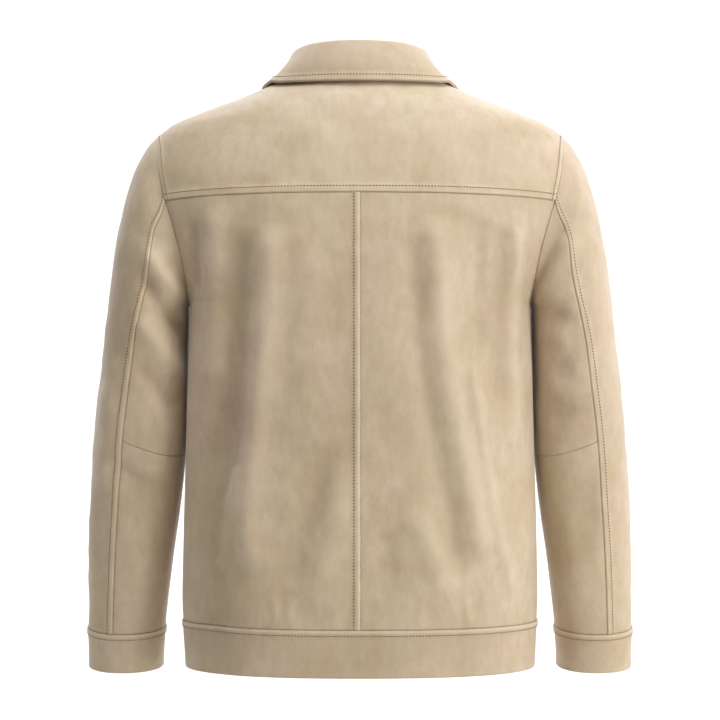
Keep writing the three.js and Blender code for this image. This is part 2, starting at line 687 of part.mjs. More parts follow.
const topSleeveColumns = sleeveColumns([
  ...upperFrontTurns.slice(0, -1),
  ...yokeTurns.map((turn) => turn + 360),
]);
const underSleeveColumns = sleeveColumns([...backTurns.slice(0, -1), ...underFrontTurns]);

function sleeveRim(turn) {
  const seam = armholeSeam(turn);
  return { point: seam.point.addScaledVector(seam.across, seamGap / 2), normal: seam.normal };
}

const upperRings = [0, 1, 2, 3, 4, 4.5, 5, 5.5, 6, 6.5, 7, 7.5, 8];
const lowerRings = [8, 8.4, 8.8, 9.3, 9.9, 10.4, 11];
const ringMm = 73;

// One sleeve piece between two of its columns' turns, with its rims at the seams
function sleevePiece(name, side, rings, columns, options) {
  const { seams, topDip = 0, bottomDip = 0, topGap = 0, weltColumns = 0 } = options;
  gridWall(name, rings.length, columns.length, side, (i, j) => {
    const column = columns[j];
    let ring = rings[i];
    if (ring === 0) return { ...sleeveRim(column.turn % 360), raise: 0 };
    const dip = 4 * column.share * (1 - column.share);
    if (i === rings.length - 1) ring += bottomDip * dip - seamGap / 2 / ringMm;
    if (i === 0) ring += topDip * dip + topGap / ringMm;
    const [from, to] = seams(ring);
    let turn = from + (to - from) * column.share;
    if (weltColumns && j >= columns.length - 3) {
      const nearSeam = sleevePoint(ring, to, side).point;
      const aside = sleevePoint(ring, to - 1, side).point;
      const mmPerDegree = nearSeam.distanceTo(aside);
      turn = to - [weltStep, weltWidth, 0][j - columns.length + 3] / mmPerDegree;
    }
    const edge = sleevePoint(ring, turn, side);
    if (j === 0 || j === columns.length - 1) {
      const inward = sleevePoint(ring, turn + (j === 0 ? 1 : -1), side).point.sub(edge.point).normalize();
      edge.point.addScaledVector(inward, seamGap / 2);
    }
    const raised = weltColumns && j >= columns.length - 2 && ring > 0.5;
    return { ...edge, raise: raised ? weltRaise : 0 };
  });
}

const topSeams = (ring) => [sleeveSeamAt(ring).front, sleeveSeamAt(ring).back + 360];
const underSeams = (ring) => [sleeveSeamAt(ring).back, sleeveSeamAt(ring).front];
for (const side of [1, -1]) {
  sleevePiece(sideName('sleeve_top', side), side, [...upperRings, ...lowerRings.slice(1)],
    topSleeveColumns, { seams: topSeams, weltColumns: 2 });
  sleevePiece(sideName('undersleeve_upper', side), side, upperRings, underSleeveColumns,
    { seams: underSeams, bottomDip: elbowDip });
  sleevePiece(sideName('undersleeve_lower', side), side, lowerRings, underSleeveColumns,
    { seams: underSeams, topDip: elbowDip, topGap: seamGap / 2 });
}

// Cuffs: plain bands, closed all round
const cuffRaise = 0.6;
const cuffSides = 24;
for (const side of [1, -1]) {
  const rings = [cuffRing + seamGap / 2 / 47, cuffRing + 0.13, cuffEndRing];
  gridWall(sideName('cuff', side), rings.length, cuffSides, side, (i, j) => (
    { ...sleevePoint(rings[i], (360 * j) / cuffSides, side), raise: cuffRaise }
  ), suede, true);
}

// Hem band, from one edge of the zip round the back to the other
{
  const half = [];
  const count = 18;
  const firstTurn = turnOfX('front', zipHalfOpening, hemTop);
  for (let k = 0; k < count; k += 1) half.push(firstTurn + ((90 - firstTurn) * k) / count);
  half.splice(1, 0, turnOfX('front', tapeHalf, hemTop));
  const turns = [...half.map((turn) => ({ turn, side: 1 })), { turn: 90, side: 1 },
    ...half.slice().reverse().map((turn) => ({ turn, side: -1 }))];
  const levels = [hemTop - seamGap / 2, hemTop - weltStep, hemBottom];
  gridWall('hem_band', levels.length, turns.length, 1, (i, j) => {
    const vertex = bodyPoint(turns[j].turn, levels[i], turns[j].side);
    if (j === 0 || j === turns.length - 1) vertex.point.x = zipHalfOpening;
    vertex.point.x *= turns[j].side;
    vertex.normal.x *= turns[j].side;
    return { ...vertex, raise: cuffRaise };
  });
}

// Collar: samples of the whole neck seam, from the wearer's left front to the right front
function collarSamples() {
  const back = yokeHalfColumns.map((column) => {
    const turn = columnTurn(column, 'back', neckLevel, 0, 0);
    return { turn, z: neckLevel, along: 1 - turn / 90 };
  });
  const front = frontColumnList.slice(1).map(({ share }) => ({ ...frontNeckPlace(share), along: 1 + share }));
  const half = [...front.reverse(), ...back];
  const left = half.map((sample) => ({ ...sample, side: 1 }));
  const right = half.slice(0, -1).reverse().map((sample) => ({ ...sample, side: -1 }));
  return [...left, ...right];
}

// Stand and leaf at one sample, before mirroring: the seam, the stand's top and the leaf's edge
function collarRib(sample) {
  const shape = collarAt(sample.along);
  const seam = neckSeam(sample.turn, sample.z);
  const top = seam.point.clone().addScaledVector(seam.outward, -shape.lean);
  top.z += shape.stand;
  const edge = bodyPoint(shape.edgeTurn, shape.edgeZ, 1, leafClearance).point;
  return { seam, top, edge, fullness: shape.bulge };
}

const collar = collarSamples();
const collarRibs = collar.map(collarRib);
const mirrored = (vector, side) => new THREE.Vector3(vector.x * side, vector.y, vector.z);

gridWall('collar_stand', 4, collar.length, 1, (i, j) => {
  const { seam, top } = collarRibs[j];
  const side = collar[j].side;
  const rise = i / 3;
  if (i === 0) {
    const start = seam.point.clone().addScaledVector(seam.across, seamGap / 2);
    return { point: mirrored(start, side), normal: mirrored(seam.normal, side) };
  }
  const point = seam.point.clone().lerp(top, rise);
  return { point: mirrored(point, side), normal: mirrored(seam.outward, side) };
});

{
  const leafRowCount = leafRoll.length + leafFallRows.length;
  const middle = collarRibs.map(({ seam, top, edge, fullness }) => {
    const rolled = leafRoll.map(({ out, up }) => {
      const point = top.clone().addScaledVector(seam.outward, out - clothThickness / 2);
      point.z += up;
      return point;
    });
    const start = rolled[rolled.length - 1];
    const run = edge.clone().sub(start);
    const along = new THREE.Vector3(-seam.outward.y, seam.outward.x, 0);
    const bulge = run.clone().cross(along).normalize();
    if (bulge.z + bulge.dot(seam.outward) < 0) bulge.negate();
    const fall = leafFallRows.map((share) => start.clone().addScaledVector(run, share)
      .addScaledVector(bulge, fullness * Math.sin(Math.PI * share)));
    return [...rolled, ...fall];
  });
  gridWall('collar_leaf', leafRowCount, collar.length, 1, (i, j) => {
    const side = collar[j].side;
    const here = middle[j][i];
    const before = middle[j][Math.max(i - 1, 0)];
    const after = middle[j][Math.min(i + 1, leafRowCount - 1)];
    const down = after.clone().sub(before);
    const { outward } = collarRibs[j].seam;
    const along = new THREE.Vector3(-outward.y, outward.x, 0);
    const normal = along.clone().cross(down).normalize();
    if (i === 0) normal.copy(outward).negate();
    else if (normal.dot(outward) * (i > 2 ? 1 : -1) < 0) normal.negate();
    const visible = here.clone().addScaledVector(normal, clothThickness / 2);
    return { point: mirrored(visible, side), normal: mirrored(normal, side) };
  });
}

// Zip tapes, each with its half of the chain: a strip behind the front's edge
const chainSection = [
  { x: seamGap / 2 + 0.1, inward: chainRecess },
  { x: chainHalf, inward: chainRecess },
  { x: chainHalf, inward: clothThickness + tapeGap },
  { x: tapeHalf, inward: clothThickness + tapeGap },
  { x: tapeHalf, inward: clothThickness + tapeGap + tapeThickness },
  { x: seamGap / 2 + 0.1, inward: clothThickness + tapeGap + tapeThickness },
];

function sectionSweep(name, section, levels, side, cloth) {
  const positions = [];
  const index = [];
  const sides = section.length;
  for (const z of levels) {
    for (const corner of section) {
      const { point, normal } = bodyPoint(turnOfX('front', corner.x, z), z, side);
      point.addScaledVector(normal, -corner.inward);
      positions.push(corner.x * side, point.y, point.z);
    }
  }
  for (let i = 0; i < levels.length - 1; i += 1) {
    for (let k = 0; k < sides; k += 1) {
      const [a, b] = [i * sides + k, i * sides + ((k + 1) % sides)];
      index.push(a, b, b + sides, a, b + sides, a + sides);
    }
  }
  const flat = section.map((corner) => new THREE.Vector2(corner.x, -corner.inward));
  const caps = THREE.ShapeUtils.triangulateShape(flat, []);
  const capArea = THREE.ShapeUtils.area(caps[0].map((k) => flat[k]));
  const sameTurn = capArea * THREE.ShapeUtils.area(flat) > 0;
  const last = (levels.length - 1) * sides;
  for (const cap of caps) {
    const [a, b, c] = sameTurn ? cap : cap.slice().reverse();
    index.push(a, c, b);
    index.push(last + a, last + b, last + c);
  }
  addSolid(name, positions, index, cloth);
}

for (const side of [1, -1]) {
  const levels = spreadLevels(chainTop, zipBoxTop, zipRows);
  sectionSweep(sideName('zip_tape', side), chainSection, levels, side, zipTapeCloth);
}

// Hard pieces of the zip stand on the front's surface: x across, y inward, z up along it
function frontFrame(z) {
  const { point, normal } = bodyPoint(-90, z, 1);
  const upward = new THREE.Vector3(0, normal.z, -normal.y);
  const frame = new THREE.Group();
  frame.matrix.makeBasis(new THREE.Vector3(1, 0, 0), normal.clone().negate(), upward);
  frame.matrix.setPosition(0, point.y, z);
  frame.matrix.decompose(frame.position, frame.quaternion, frame.scale);
  group.add(frame);
  return frame;
}

function polygon(points) {
  return new THREE.Shape(points.map(([x, y]) => new THREE.Vector2(x, y)));
}

// Outline in (inward, up), pushed out to both sides of the zip
function acrossZip(points, halfWidth) {
  const geometry = new THREE.ExtrudeGeometry(polygon(points), { depth: 2 * halfWidth, bevelEnabled: false });
  geometry.translate(0, 0, -halfWidth);
  geometry.rotateY(Math.PI / 2);
  geometry.rotateX(Math.PI / 2);
  return geometry;
}

const wasm = await Module();
wasm.setup();

function toManifold(geometry) {
  const plain = geometry.clone();
  plain.deleteAttribute('normal');
  plain.deleteAttribute('uv');
  const merged = mergeVertices(plain, 1e-4);
  return new wasm.Manifold(new wasm.Mesh({
    numProp: 3,
    vertProperties: new Float32Array(merged.attributes.position.array),
    triVerts: new Uint32Array(merged.index.array),
  }));
}

function fromManifold(solid) {
  const { vertProperties, triVerts, numProp } = solid.getMesh();
  const positions = [];
  for (let i = 0; i < vertProperties.length; i += numProp) positions.push(...vertProperties.slice(i, i + 3));
  const geometry = new THREE.BufferGeometry();
  geometry.setAttribute('position', new THREE.Float32BufferAttribute(positions, 3));
  geometry.setIndex([...triVerts]);
  geometry.computeVertexNormals();
  return geometry;
}

function metalPiece(name, geometry, frame) {
  const mesh = new THREE.Mesh(geometry, new THREE.MeshStandardMaterial(zipMetal));
  mesh.name = name;
  frame.add(mesh);
}

// Slider: a front and a back plate round the chain, joined above it, with a bridge for the pull
const sliderFrame = frontFrame(sliderLevel);
const plateFront = -sliderGap - sliderPlate;
const plateBack = clothThickness + tapeGap + tapeThickness + sliderGap;
const sliderOutline = [
  [plateFront, -sliderHalfLength], [-sliderGap, -sliderHalfLength],
  [-sliderGap, sliderHalfLength - sliderPost], [plateBack, sliderHalfLength - sliderPost],
  [plateBack, -sliderHalfLength], [plateBack + sliderPlate, -sliderHalfLength],
  [plateBack + sliderPlate, sliderHalfLength], [plateFront, sliderHalfLength],
];
const bridgeFoot = plateFront + sliderPlate / 4;
const bridgeTop = plateFront - bridgeHeight;
const bridgeInner = bridgeHalfLength - bridgeBar;
const bridgeOutline = [
  [bridgeFoot, -bridgeHalfLength], [bridgeTop, -bridgeHalfLength],
  [bridgeTop, bridgeHalfLength], [bridgeFoot, bridgeHalfLength],
  [bridgeFoot, bridgeInner], [bridgeTop + bridgeBar, bridgeInner],
  [bridgeTop + bridgeBar, -bridgeInner], [bridgeFoot, -bridgeInner],
];
const sliderBody = toManifold(acrossZip(sliderOutline, sliderHalfWidth));
const sliderBridge = toManifold(acrossZip(bridgeOutline, bridgeHalfWidth));
metalPiece('zip_slider', fromManifold(sliderBody.add(sliderBridge)), sliderFrame);

// Pull tab: a plate whose crossbar lies in the bridge, hanging down along the front
const pullShape = polygon([
  [-pullHalfWidth, pullThickness / 2], [-pullHalfWidth, -pullWindowDrop - 2],
  [-pullFoot, -pullDrop + 2], [-pullFoot + 2, -pullDrop],
  [pullFoot - 2, -pullDrop], [pullFoot, -pullDrop + 2],
  [pullHalfWidth, -pullWindowDrop - 2], [pullHalfWidth, pullThickness / 2],
]);
const windowTop = -pullThickness / 2;
pullShape.holes.push(new THREE.Path([
  [-pullWindowHalf, windowTop], [pullWindowHalf, windowTop],
  [pullWindowHalf, -pullWindowDrop], [-pullWindowHalf, -pullWindowDrop],
].map(([x, y]) => new THREE.Vector2(x, y))));
const pullGeometry = new THREE.ExtrudeGeometry(pullShape, { depth: pullThickness, bevelEnabled: false });
pullGeometry.translate(0, 0, -pullThickness / 2);
pullGeometry.rotateX(Math.PI / 2);
pullGeometry.translate(0, (plateFront + bridgeTop + bridgeBar) / 2, 0);
metalPiece('zip_pull', pullGeometry, sliderFrame);

// Retaining box at the foot of the zip
const zipBoxFrame = frontFrame((zipBoxTop + hemBottom) / 2);
const zipBoxDepth = plateBack + zipBoxProud;
const zipBoxHeight = zipBoxTop - hemBottom - 2 * seamGap;
const zipBox = new THREE.BoxGeometry(2 * zipBoxHalf, zipBoxDepth, zipBoxHeight);
zipBox.translate(0, zipBoxDepth / 2 - zipBoxProud, 0);
metalPiece('zip_box', zipBox, zipBoxFrame);

export default group;
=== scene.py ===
import math

import bpy
import numpy as np
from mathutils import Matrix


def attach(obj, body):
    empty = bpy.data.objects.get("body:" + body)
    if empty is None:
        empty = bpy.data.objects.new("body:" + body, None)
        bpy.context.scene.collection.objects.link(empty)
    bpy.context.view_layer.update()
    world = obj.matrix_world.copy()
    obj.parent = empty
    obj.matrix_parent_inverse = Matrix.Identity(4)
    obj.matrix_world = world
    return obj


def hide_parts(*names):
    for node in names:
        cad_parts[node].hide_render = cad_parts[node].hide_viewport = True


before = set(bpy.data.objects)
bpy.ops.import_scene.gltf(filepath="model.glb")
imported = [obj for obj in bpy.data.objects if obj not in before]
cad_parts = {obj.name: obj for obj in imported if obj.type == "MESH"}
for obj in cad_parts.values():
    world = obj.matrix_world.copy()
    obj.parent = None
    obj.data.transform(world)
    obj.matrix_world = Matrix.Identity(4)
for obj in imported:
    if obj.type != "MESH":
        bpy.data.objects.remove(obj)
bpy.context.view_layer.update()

# Studio: a pale floor that sweeps up into walls all round, and soft lamps. The camera looks level
# at the back of the jacket, from 2.4 m, as the photograph does. The strongest lamp stands on the
# right, so the left sleeve and the lower left of the back fall into a soft shade.
def linear(hexcode):
    """An sRGB colour such as c8b291 as linear RGBA."""
    parts = [int(hexcode[i:i + 2], 16) / 255 for i in (0, 2, 4)]
    return [c / 12.92 if c <= 0.04045 else ((c + 0.055) / 1.055) ** 2.4 for c in parts] + [1]


def add_node(tree, kind, inputs=None, **settings):
    """Adds a node. inputs gives each socket, by name or number, a value or another node's output."""
    node = tree.nodes.new(kind)
    for name, value in settings.items():
        setattr(node, name, value)
    for socket, value in (inputs or {}).items():
        if isinstance(value, bpy.types.NodeSocket):
            tree.links.new(value, node.inputs[socket])
        else:
            node.inputs[socket].default_value = value
    return node


def new_material(name):
    material = bpy.data.materials.new(name)
    material.use_nodes = True
    material.node_tree.nodes.clear()
    return material, material.node_tree


scene = bpy.context.scene
scene.view_settings.view_transform = "Standard"
CAMERA_AWAY, CAMERA_LEVEL, CAMERA_LENS = 2.4, -0.29, 104.35
camera = bpy.data.objects.new("camera", bpy.data.cameras.new("camera"))
camera.data.sensor_width = 36
camera.data.lens = CAMERA_LENS
camera.location = (0, CAMERA_AWAY, CAMERA_LEVEL)
camera.rotation_euler = (math.radians(90), 0, math.radians(180))
scene.collection.objects.link(camera)
scene.camera = camera

FLOOR_LEVEL, FLOOR_HALF, SWEEP_RADIUS, SWEEP_STEPS, WALL_TOP = -0.78, 3.6, 1.5, 12, 5.0
CORNERS = [(-1, -1), (1, -1), (1, 1), (-1, 1)]
sweep = [(FLOOR_HALF, FLOOR_LEVEL)]
for step in range(1, SWEEP_STEPS + 1):
    angle = math.radians(90 * step / SWEEP_STEPS)
    sweep.append((FLOOR_HALF + SWEEP_RADIUS * math.sin(angle),
                  FLOOR_LEVEL + SWEEP_RADIUS * (1 - math.cos(angle))))
sweep.append((FLOOR_HALF + SWEEP_RADIUS, WALL_TOP))
floor_mesh = bpy.data.meshes.new("studio_floor")
floor_mesh.from_pydata(
    [(x * out, y * out, z) for out, z in sweep for x, y in CORNERS], [],
    [(0, 1, 2, 3)] + [(4 * i + k, 4 * i + 4 + k, 4 * i + 4 + (k + 1) % 4, 4 * i + (k + 1) % 4)
                      for i in range(len(sweep) - 1) for k in range(4)])
floor_mesh.shade_smooth()
studio_floor = bpy.data.objects.new("studio_floor", floor_mesh)
scene.collection.objects.link(studio_floor)
floor_paint, tree = new_material("matt_white_floor_paint")
paint = add_node(tree, "ShaderNodeBsdfPrincipled", {
    "Base Color": linear("dedcd9"), "Roughness": 0.9, "Specular IOR Level": 0.2})
add_node(tree, "ShaderNodeOutputMaterial", {"Surface": paint.outputs["BSDF"]})
floor_mesh.materials.append(floor_paint)


def softbox(name, place, target, width, height, watts, tint):
    lamp = bpy.data.objects.new(name, bpy.data.lights.new(name, "AREA"))
    lamp.data.shape = "RECTANGLE"
    lamp.data.size = width
    lamp.data.size_y = height
    lamp.data.energy = watts
    lamp.data.color = linear(tint)[:3]
    lamp.location = place
    aim = np.array(target, float) - np.array(place, float)
    heading = math.atan2(aim[0], -aim[1])
    tilt = math.atan2(math.hypot(aim[0], aim[1]), -aim[2])
    lamp.rotation_euler = (tilt, 0, heading + math.pi)
    scene.collection.objects.link(lamp)


softbox("lamp_right_low", (-2.1, 1.5, -0.5), (0, 0, -0.45), 1.0, 0.8, 30, "fffaf2")
softbox("lamp_right_high", (-1.8, 2.1, 1.4), (0, 0, -0.2), 1.4, 1.4, 21, "f6f8ff")
softbox("lamp_above", (0, 0.5, 1.5), (0, 0, -0.2), 1.4, 1.0, 24, "f2f6ff")
softbox("lamp_yoke", (0.15, 0.75, 1.0), (0.05, 0, 0), 0.9, 0.7, 4.5, "fffaf2")
softbox("lamp_edge", (-2.4, -0.7, 0.4), (0, 0, -0.3), 1.2, 1.8, 20, "ffffff")
softbox("lamp_wall", (0, -2.2, 2.4), (0, -4.2, -0.4), 5.0, 1.6, 210, "ffffff")
softbox("lamp_floor", (0, -1.5, 1.5), (0, -2.3, -0.78), 3.4, 1.0, 30, "ffffff")
world = bpy.data.worlds.new("pale_room")
scene.world = world
world.use_nodes = True
world.node_tree.nodes["Background"].inputs["Color"].default_value = linear("f2f0ee")
world.node_tree.nodes["Background"].inputs["Strength"].default_value = 0.04

# Back, left and right: two panels of suede below the yoke, cut to the armholes and the sides.
# They are joined down the middle by a seam whose allowance is turned to the wearer's left and
# topstitched, which makes a soft raised welt there. Below, they are sewn into the hem band.
SEAM_GAP = 0.18
HEM_BOTTOM, HEM_TOP, UNDERARM, ARMHOLE_TOP = -639, -586, -225, -33
YOKE_SEAM, YOKE_SEAM_DROP = -106, 5
BODY_WIDTHS = [
    (-640, 199.5), (-590, 202.2), (-560, 203.5), (-480, 202), (-400, 199.8), (-310, 197.6),
    (-225, 195.5)]
SHOULDER_LINE = [(-33, 231), (-20, 213), (-7, 182), (6.7, 144), (21.6, 108), (36, 72)]
BODY_DEPTHS = [
    (-640, 116, 117, 2.4), (-586, 119, 120, 2.4), (-480, 117, 118, 2.4), (-400, 118, 119, 2.4),
    (-310, 121, 122, 2.35), (-225, 122, 123, 2.3), (-160, 122, 119, 2.2), (-106, 118, 107, 2.1),
    (-60, 110, 91, 2), (-33, 103, 81, 2), (0, 91, 66, 2), (21.6, 78, 53, 2), (36, 64, 43, 2)]
ARMHOLE = {"out_x": 231, "out_z": -33, "in_x": 195.5, "in_z": -225, "depth": 62, "bow": 3.5}
BODY_FOLDS = [
    ("back", 18, 7, (99, -140), (103, -202), (106, -257), (113, -323), (123, -389), (127, -455),
     (117, -530)),
    ("back", 20, -7, (130, -140), (133, -215), (138, -290), (146, -360), (156, -430)),
    ("back", 25, -6, (140, -330), (152, -400), (162, -480), (164, -560), (164, -640)),
    ("back", 13, 4, (162, -118), (164, -220), (167, -320)),
    ("back", 9, -5, (187, -135), (184, -215)),
    ("back", 6.5, 3.4, (137, -405), (146, -460), (160, -525)),
    ("back", 17, 3, (16, -400), (32, -480), (48, -545)),
    ("back", 18, -3.5, (38, -385), (58, -470), (76, -540)),
    ("back", 22, 2.5, (60, -130), (56, -230), (60, -320)),
    ("back", 17, 6, (-80, -130), (-86, -202), (-89, -257), (-97, -323), (-112, -389), (-127, -455),
     (-134, -510)),
    ("back", 15, -4.5, (-60, -150), (-64, -250), (-72, -323), (-86, -389), (-100, -455), (-108, -520)),
    ("back", 12, -4, (-130, -130), (-134, -200), (-137, -280)),
    ("back", 10, -4.5, (-156, -140), (-156, -240), (-156, -340)),
    ("back", 9, 4, (-174, -140), (-173, -260), (-172, -390)),
    ("back", 7, 3.2, (-122, -290), (-131, -345), (-141, -416), (-155, -490), (-173, -556)),
    ("back", 16, 3.5, (-56, -450), (-80, -505), (-96, -560)),
    ("back", 14, -3, (-26, -470), (-34, -560)),
    ("back", 4, 1.6, (171, -530), (167, -580)), ("back", 3.5, 1.5, (96, -548), (92, -580)),
    ("back", 3.5, 1.4, (78, -552), (76, -582)), ("back", 3.5, 1.3, (-64, -556), (-66, -582)),
    ("back", 4, 1.5, (-118, -552), (-121, -582)),
    ("front", 17, -5.5, (138, -150), (128, -280), (114, -430)),
    ("front", 16, 5, (165, -240), (158, -360), (146, -500)),
    ("front", 15, 4.5, (98, -120), (96, -240), (88, -360)),
    ("front", 14, 4, (64, -380), (44, -470), (34, -550)),
    ("front", 4, 1.5, (104, -550), (106, -582)),
    ("front", 16, -5.5, (-142, -150), (-130, -290), (-116, -420)),
    ("front", 15, 4.5, (-168, -240), (-160, -370), (-150, -480)),
    ("front", 16, 4.5, (-96, -130), (-100, -250), (-92, -380)),
    ("front", 13, -4, (-56, -360), (-74, -460), (-80, -550)),
    ("front", 8, 3.5, (-108, -430), (-122, -500), (-140, -560)),
    ("front", 4, 1.5, (-62, -550), (-63, -582))]


def through_rows(rows):
    """A table as a smooth function of its first column, with a cubic through the others."""
    at = np.array([row[0] for row in rows], float)
    values = np.array([row[1:] for row in rows], float)
    before = np.maximum(np.arange(len(at)) - 1, 0)
    after = np.minimum(np.arange(len(at)) + 1, len(at) - 1)
    slopes = (values[after] - values[before]) / (at[after] - at[before])[:, None]

    def curve(value):
        value = np.clip(np.asarray(value, float), at[0], at[-1])
        i = np.clip(np.searchsorted(at, value) - 1, 0, len(at) - 2)
        span = (at[i + 1] - at[i])[..., None]
        t = (value - at[i])[..., None] / span
        result = values[i] * (1 + 2 * t) * (1 - t) ** 2 + slopes[i] * span * t * (1 - t) ** 2
        result += values[i + 1] * t * t * (3 - 2 * t) - slopes[i + 1] * span * t * t * (1 - t)
        return np.moveaxis(result, -1, 0)

    return curve


def smooth_step(start, end, value):
    t = np.clip((value - start) / (end - start), 0, 1)
    return t * t * (3 - 2 * t)


def signed_power(value, exponent):
    return np.sign(value) * np.abs(value) ** exponent


def unit(vectors):
    return vectors / np.maximum(np.linalg.norm(vectors, axis=-1, keepdims=True), 1e-9)


def unevenness(points, size, seed):
    """Soft random height from about -1 to 1, with bumps about size millimetres across."""
    random = np.random.default_rng(seed)
    total = np.zeros(points.shape[:-1])
    for _ in range(24):
        direction = unit(random.normal(size=3))
        wave = 2 * math.pi / (size * random.uniform(1.3, 2.8))
        total += np.sin(points @ direction * wave + random.uniform(0, 2 * math.pi))
    return total / 5.2


def fold_height(folds, face, x, z):
    """Height of one face's folds: soft ridges and troughs along lines, fading at both ends."""
    height = np.zeros_like(x)
    for fold_face, width, tall, *line in folds:
        if fold_face != face:
            continue
        line = np.array(line, float)
        runs = np.linalg.norm(np.diff(line, axis=0), axis=1)
        away, along = np.full_like(x, 1e6), np.zeros_like(x)
        for k, run in enumerate(runs):
            step = line[k + 1] - line[k]
            share = ((x - line[k, 0]) * step[0] + (z - line[k, 1]) * step[1]) / run ** 2
            near = np.clip(share, 0, 1)
            gap = np.hypot(x - line[k, 0] - near * step[0], z - line[k, 1] - near * step[1])
            closer = gap < away
            away = np.where(closer, gap, away)
            along = np.where(closer, runs[:k].sum() + near * run, along)
        fade = min(1.6 * width, 0.4 * runs.sum())
        ends = smooth_step(-0.35 * fade, fade, along) * smooth_step(
            -0.35 * fade, fade, runs.sum() - along)
        height += tall * ends * np.exp(-(away / width) ** 2)
    return height


body_width = through_rows(BODY_WIDTHS)
shoulder_width = through_rows(SHOULDER_LINE)
body_depth = through_rows(BODY_DEPTHS)
ARMHOLE_MID = np.array([
    (ARMHOLE["out_x"] + ARMHOLE["in_x"]) / 2, 0, (ARMHOLE["out_z"] + ARMHOLE["in_z"]) / 2])
ARMHOLE_RUN = np.array([
    (ARMHOLE["out_x"] - ARMHOLE["in_x"]) / 2, 0, (ARMHOLE["out_z"] - ARMHOLE["in_z"]) / 2])


def armhole_at(z):
    """The armhole's x and half depth at a level."""
    height = np.clip((z - ARMHOLE_MID[2]) / ARMHOLE_RUN[2], -1, 1)
    x = ARMHOLE_MID[0] + ARMHOLE_RUN[0] * height + ARMHOLE["bow"] * np.sin(np.pi * (1 - height))
    return x, ARMHOLE["depth"] * np.sqrt(1 - height * height)


def armhole_point(turn):
    """A point of the armhole: turn 0 at its top, 90 at the back, 180 under the arm."""
    angle = np.radians(turn)
    x, _ = armhole_at(ARMHOLE_MID[2] + ARMHOLE_RUN[2] * np.cos(angle))
    z = ARMHOLE_MID[2] + ARMHOLE_RUN[2] * np.cos(angle)
    return np.stack([x, ARMHOLE["depth"] * np.sin(angle), z], axis=-1)


def armhole_normal(turn):
    """The way out of the armhole seam, half way between the body's surface and the sleeve's."""
    tangent = unit(armhole_point(turn + 0.5) - armhole_point(turn - 0.5))
    into_sleeve = unit(np.array([-ARMHOLE_RUN[2], 0, ARMHOLE_RUN[0]]))
    into_sleeve = into_sleeve * np.sign(into_sleeve[0])
    radial = unit(np.cross(tangent, into_sleeve))
    centre = np.array([ARMHOLE_MID[0], 0, ARMHOLE_MID[2]])
    radial *= np.sign(np.sum(radial * (armhole_point(turn) - centre), axis=-1, keepdims=True))
    lean = 0.3 + 0.2 * np.cos(np.radians(turn))
    return unit(radial + into_sleeve * lean[..., None])


def body_section(face, z):
    back, front, power = body_depth(z)
    depth = back if face == "back" else front
    hole_x, hole_depth = armhole_at(z)
    through_hole = hole_x / np.maximum(1 - (hole_depth / depth) ** power, 1e-6) ** (1 / power)
    half = np.where(z <= UNDERARM, body_width(z)[0], through_hole)
    return np.where(z >= ARMHOLE_TOP, shoulder_width(z)[0], half), depth, power


def body_point(face, turn, z):
    """Surface of the body: turn 90 is the centre back, 0 the side or shoulder, -90 the front."""
    half, depth, power = body_section(face, z)
    angle = np.radians(turn)
    x = half * signed_power(np.cos(angle), 2 / power)
    y = depth * signed_power(np.sin(angle), 2 / power)
    return np.stack([x, y, z], axis=-1)


def body_normal(face, points):
    """The body's exact normal, where the grid's own would be skewed."""
    x, y, z = points[..., 0], points[..., 1], points[..., 2]
    half, depth, power = body_section(face, z)

    def level(height):
        wide, deep, square = body_section(face, height)
        return np.abs(x / wide) ** square + np.abs(y / deep) ** square

    return unit(np.stack([
        signed_power(x / half, power - 1) / half, signed_power(y / depth, power - 1) / depth,
        (level(z + 0.5) - level(z - 0.5)) / power], axis=-1))


def turn_of_x(face, x, z):
    half, _, power = body_section(face, z)
    turn = np.degrees(np.arccos(np.clip(x / half, 0, 1) ** (power / 2)))
    return turn if face == "back" else -turn


def edge_turn(face, z):
    """Turn of the body's outer edge: the armhole, or the side or shoulder seam."""
    turn = turn_of_x(face, armhole_at(z)[0], z)
    return np.where((z >= ARMHOLE_TOP) | (z <= UNDERARM), 0, turn)


def column_share(t):
    return t + 0.11 * np.sin(np.pi * t)


def back_yoke_seam(share):
    return YOKE_SEAM - YOKE_SEAM_DROP * (1 - share) ** 3


YOKE_END_TURN = math.degrees(math.acos(
    (YOKE_SEAM - YOKE_SEAM_DROP - ARMHOLE_MID[2]) / ARMHOLE_RUN[2]))


def edge_level(shoulder_from, hole_from, hole_to, side_to):
    """Level down a panel's outer edge, by the length of shoulder, armhole and side seam."""
    turns = np.linspace(hole_from, hole_to, 200)
    hole = armhole_point(turns)
    run = [np.zeros(1)]
    level = [hole[:1, 2]]
    if shoulder_from is not None:
        z = np.linspace(shoulder_from, ARMHOLE_TOP, 40)
        points = np.stack([shoulder_width(z)[0], z], axis=-1)
        run = [np.concatenate([[0], np.cumsum(np.linalg.norm(np.diff(points, axis=0), axis=-1))])]
        level = [z]
    run.append(run[-1][-1] + np.cumsum(np.linalg.norm(np.diff(hole, axis=0), axis=-1)))
    level.append(hole[1:, 2])
    if side_to is not None:
        run.append(np.array([run[-1][-1] + abs(side_to - UNDERARM)]))
        level.append(np.array([side_to]))
    run, level = np.concatenate(run), np.concatenate(level)
    return lambda v: np.interp(v * run[-1], run, level)


back_edge_level = edge_level(None, YOKE_END_TURN, 180, HEM_TOP)


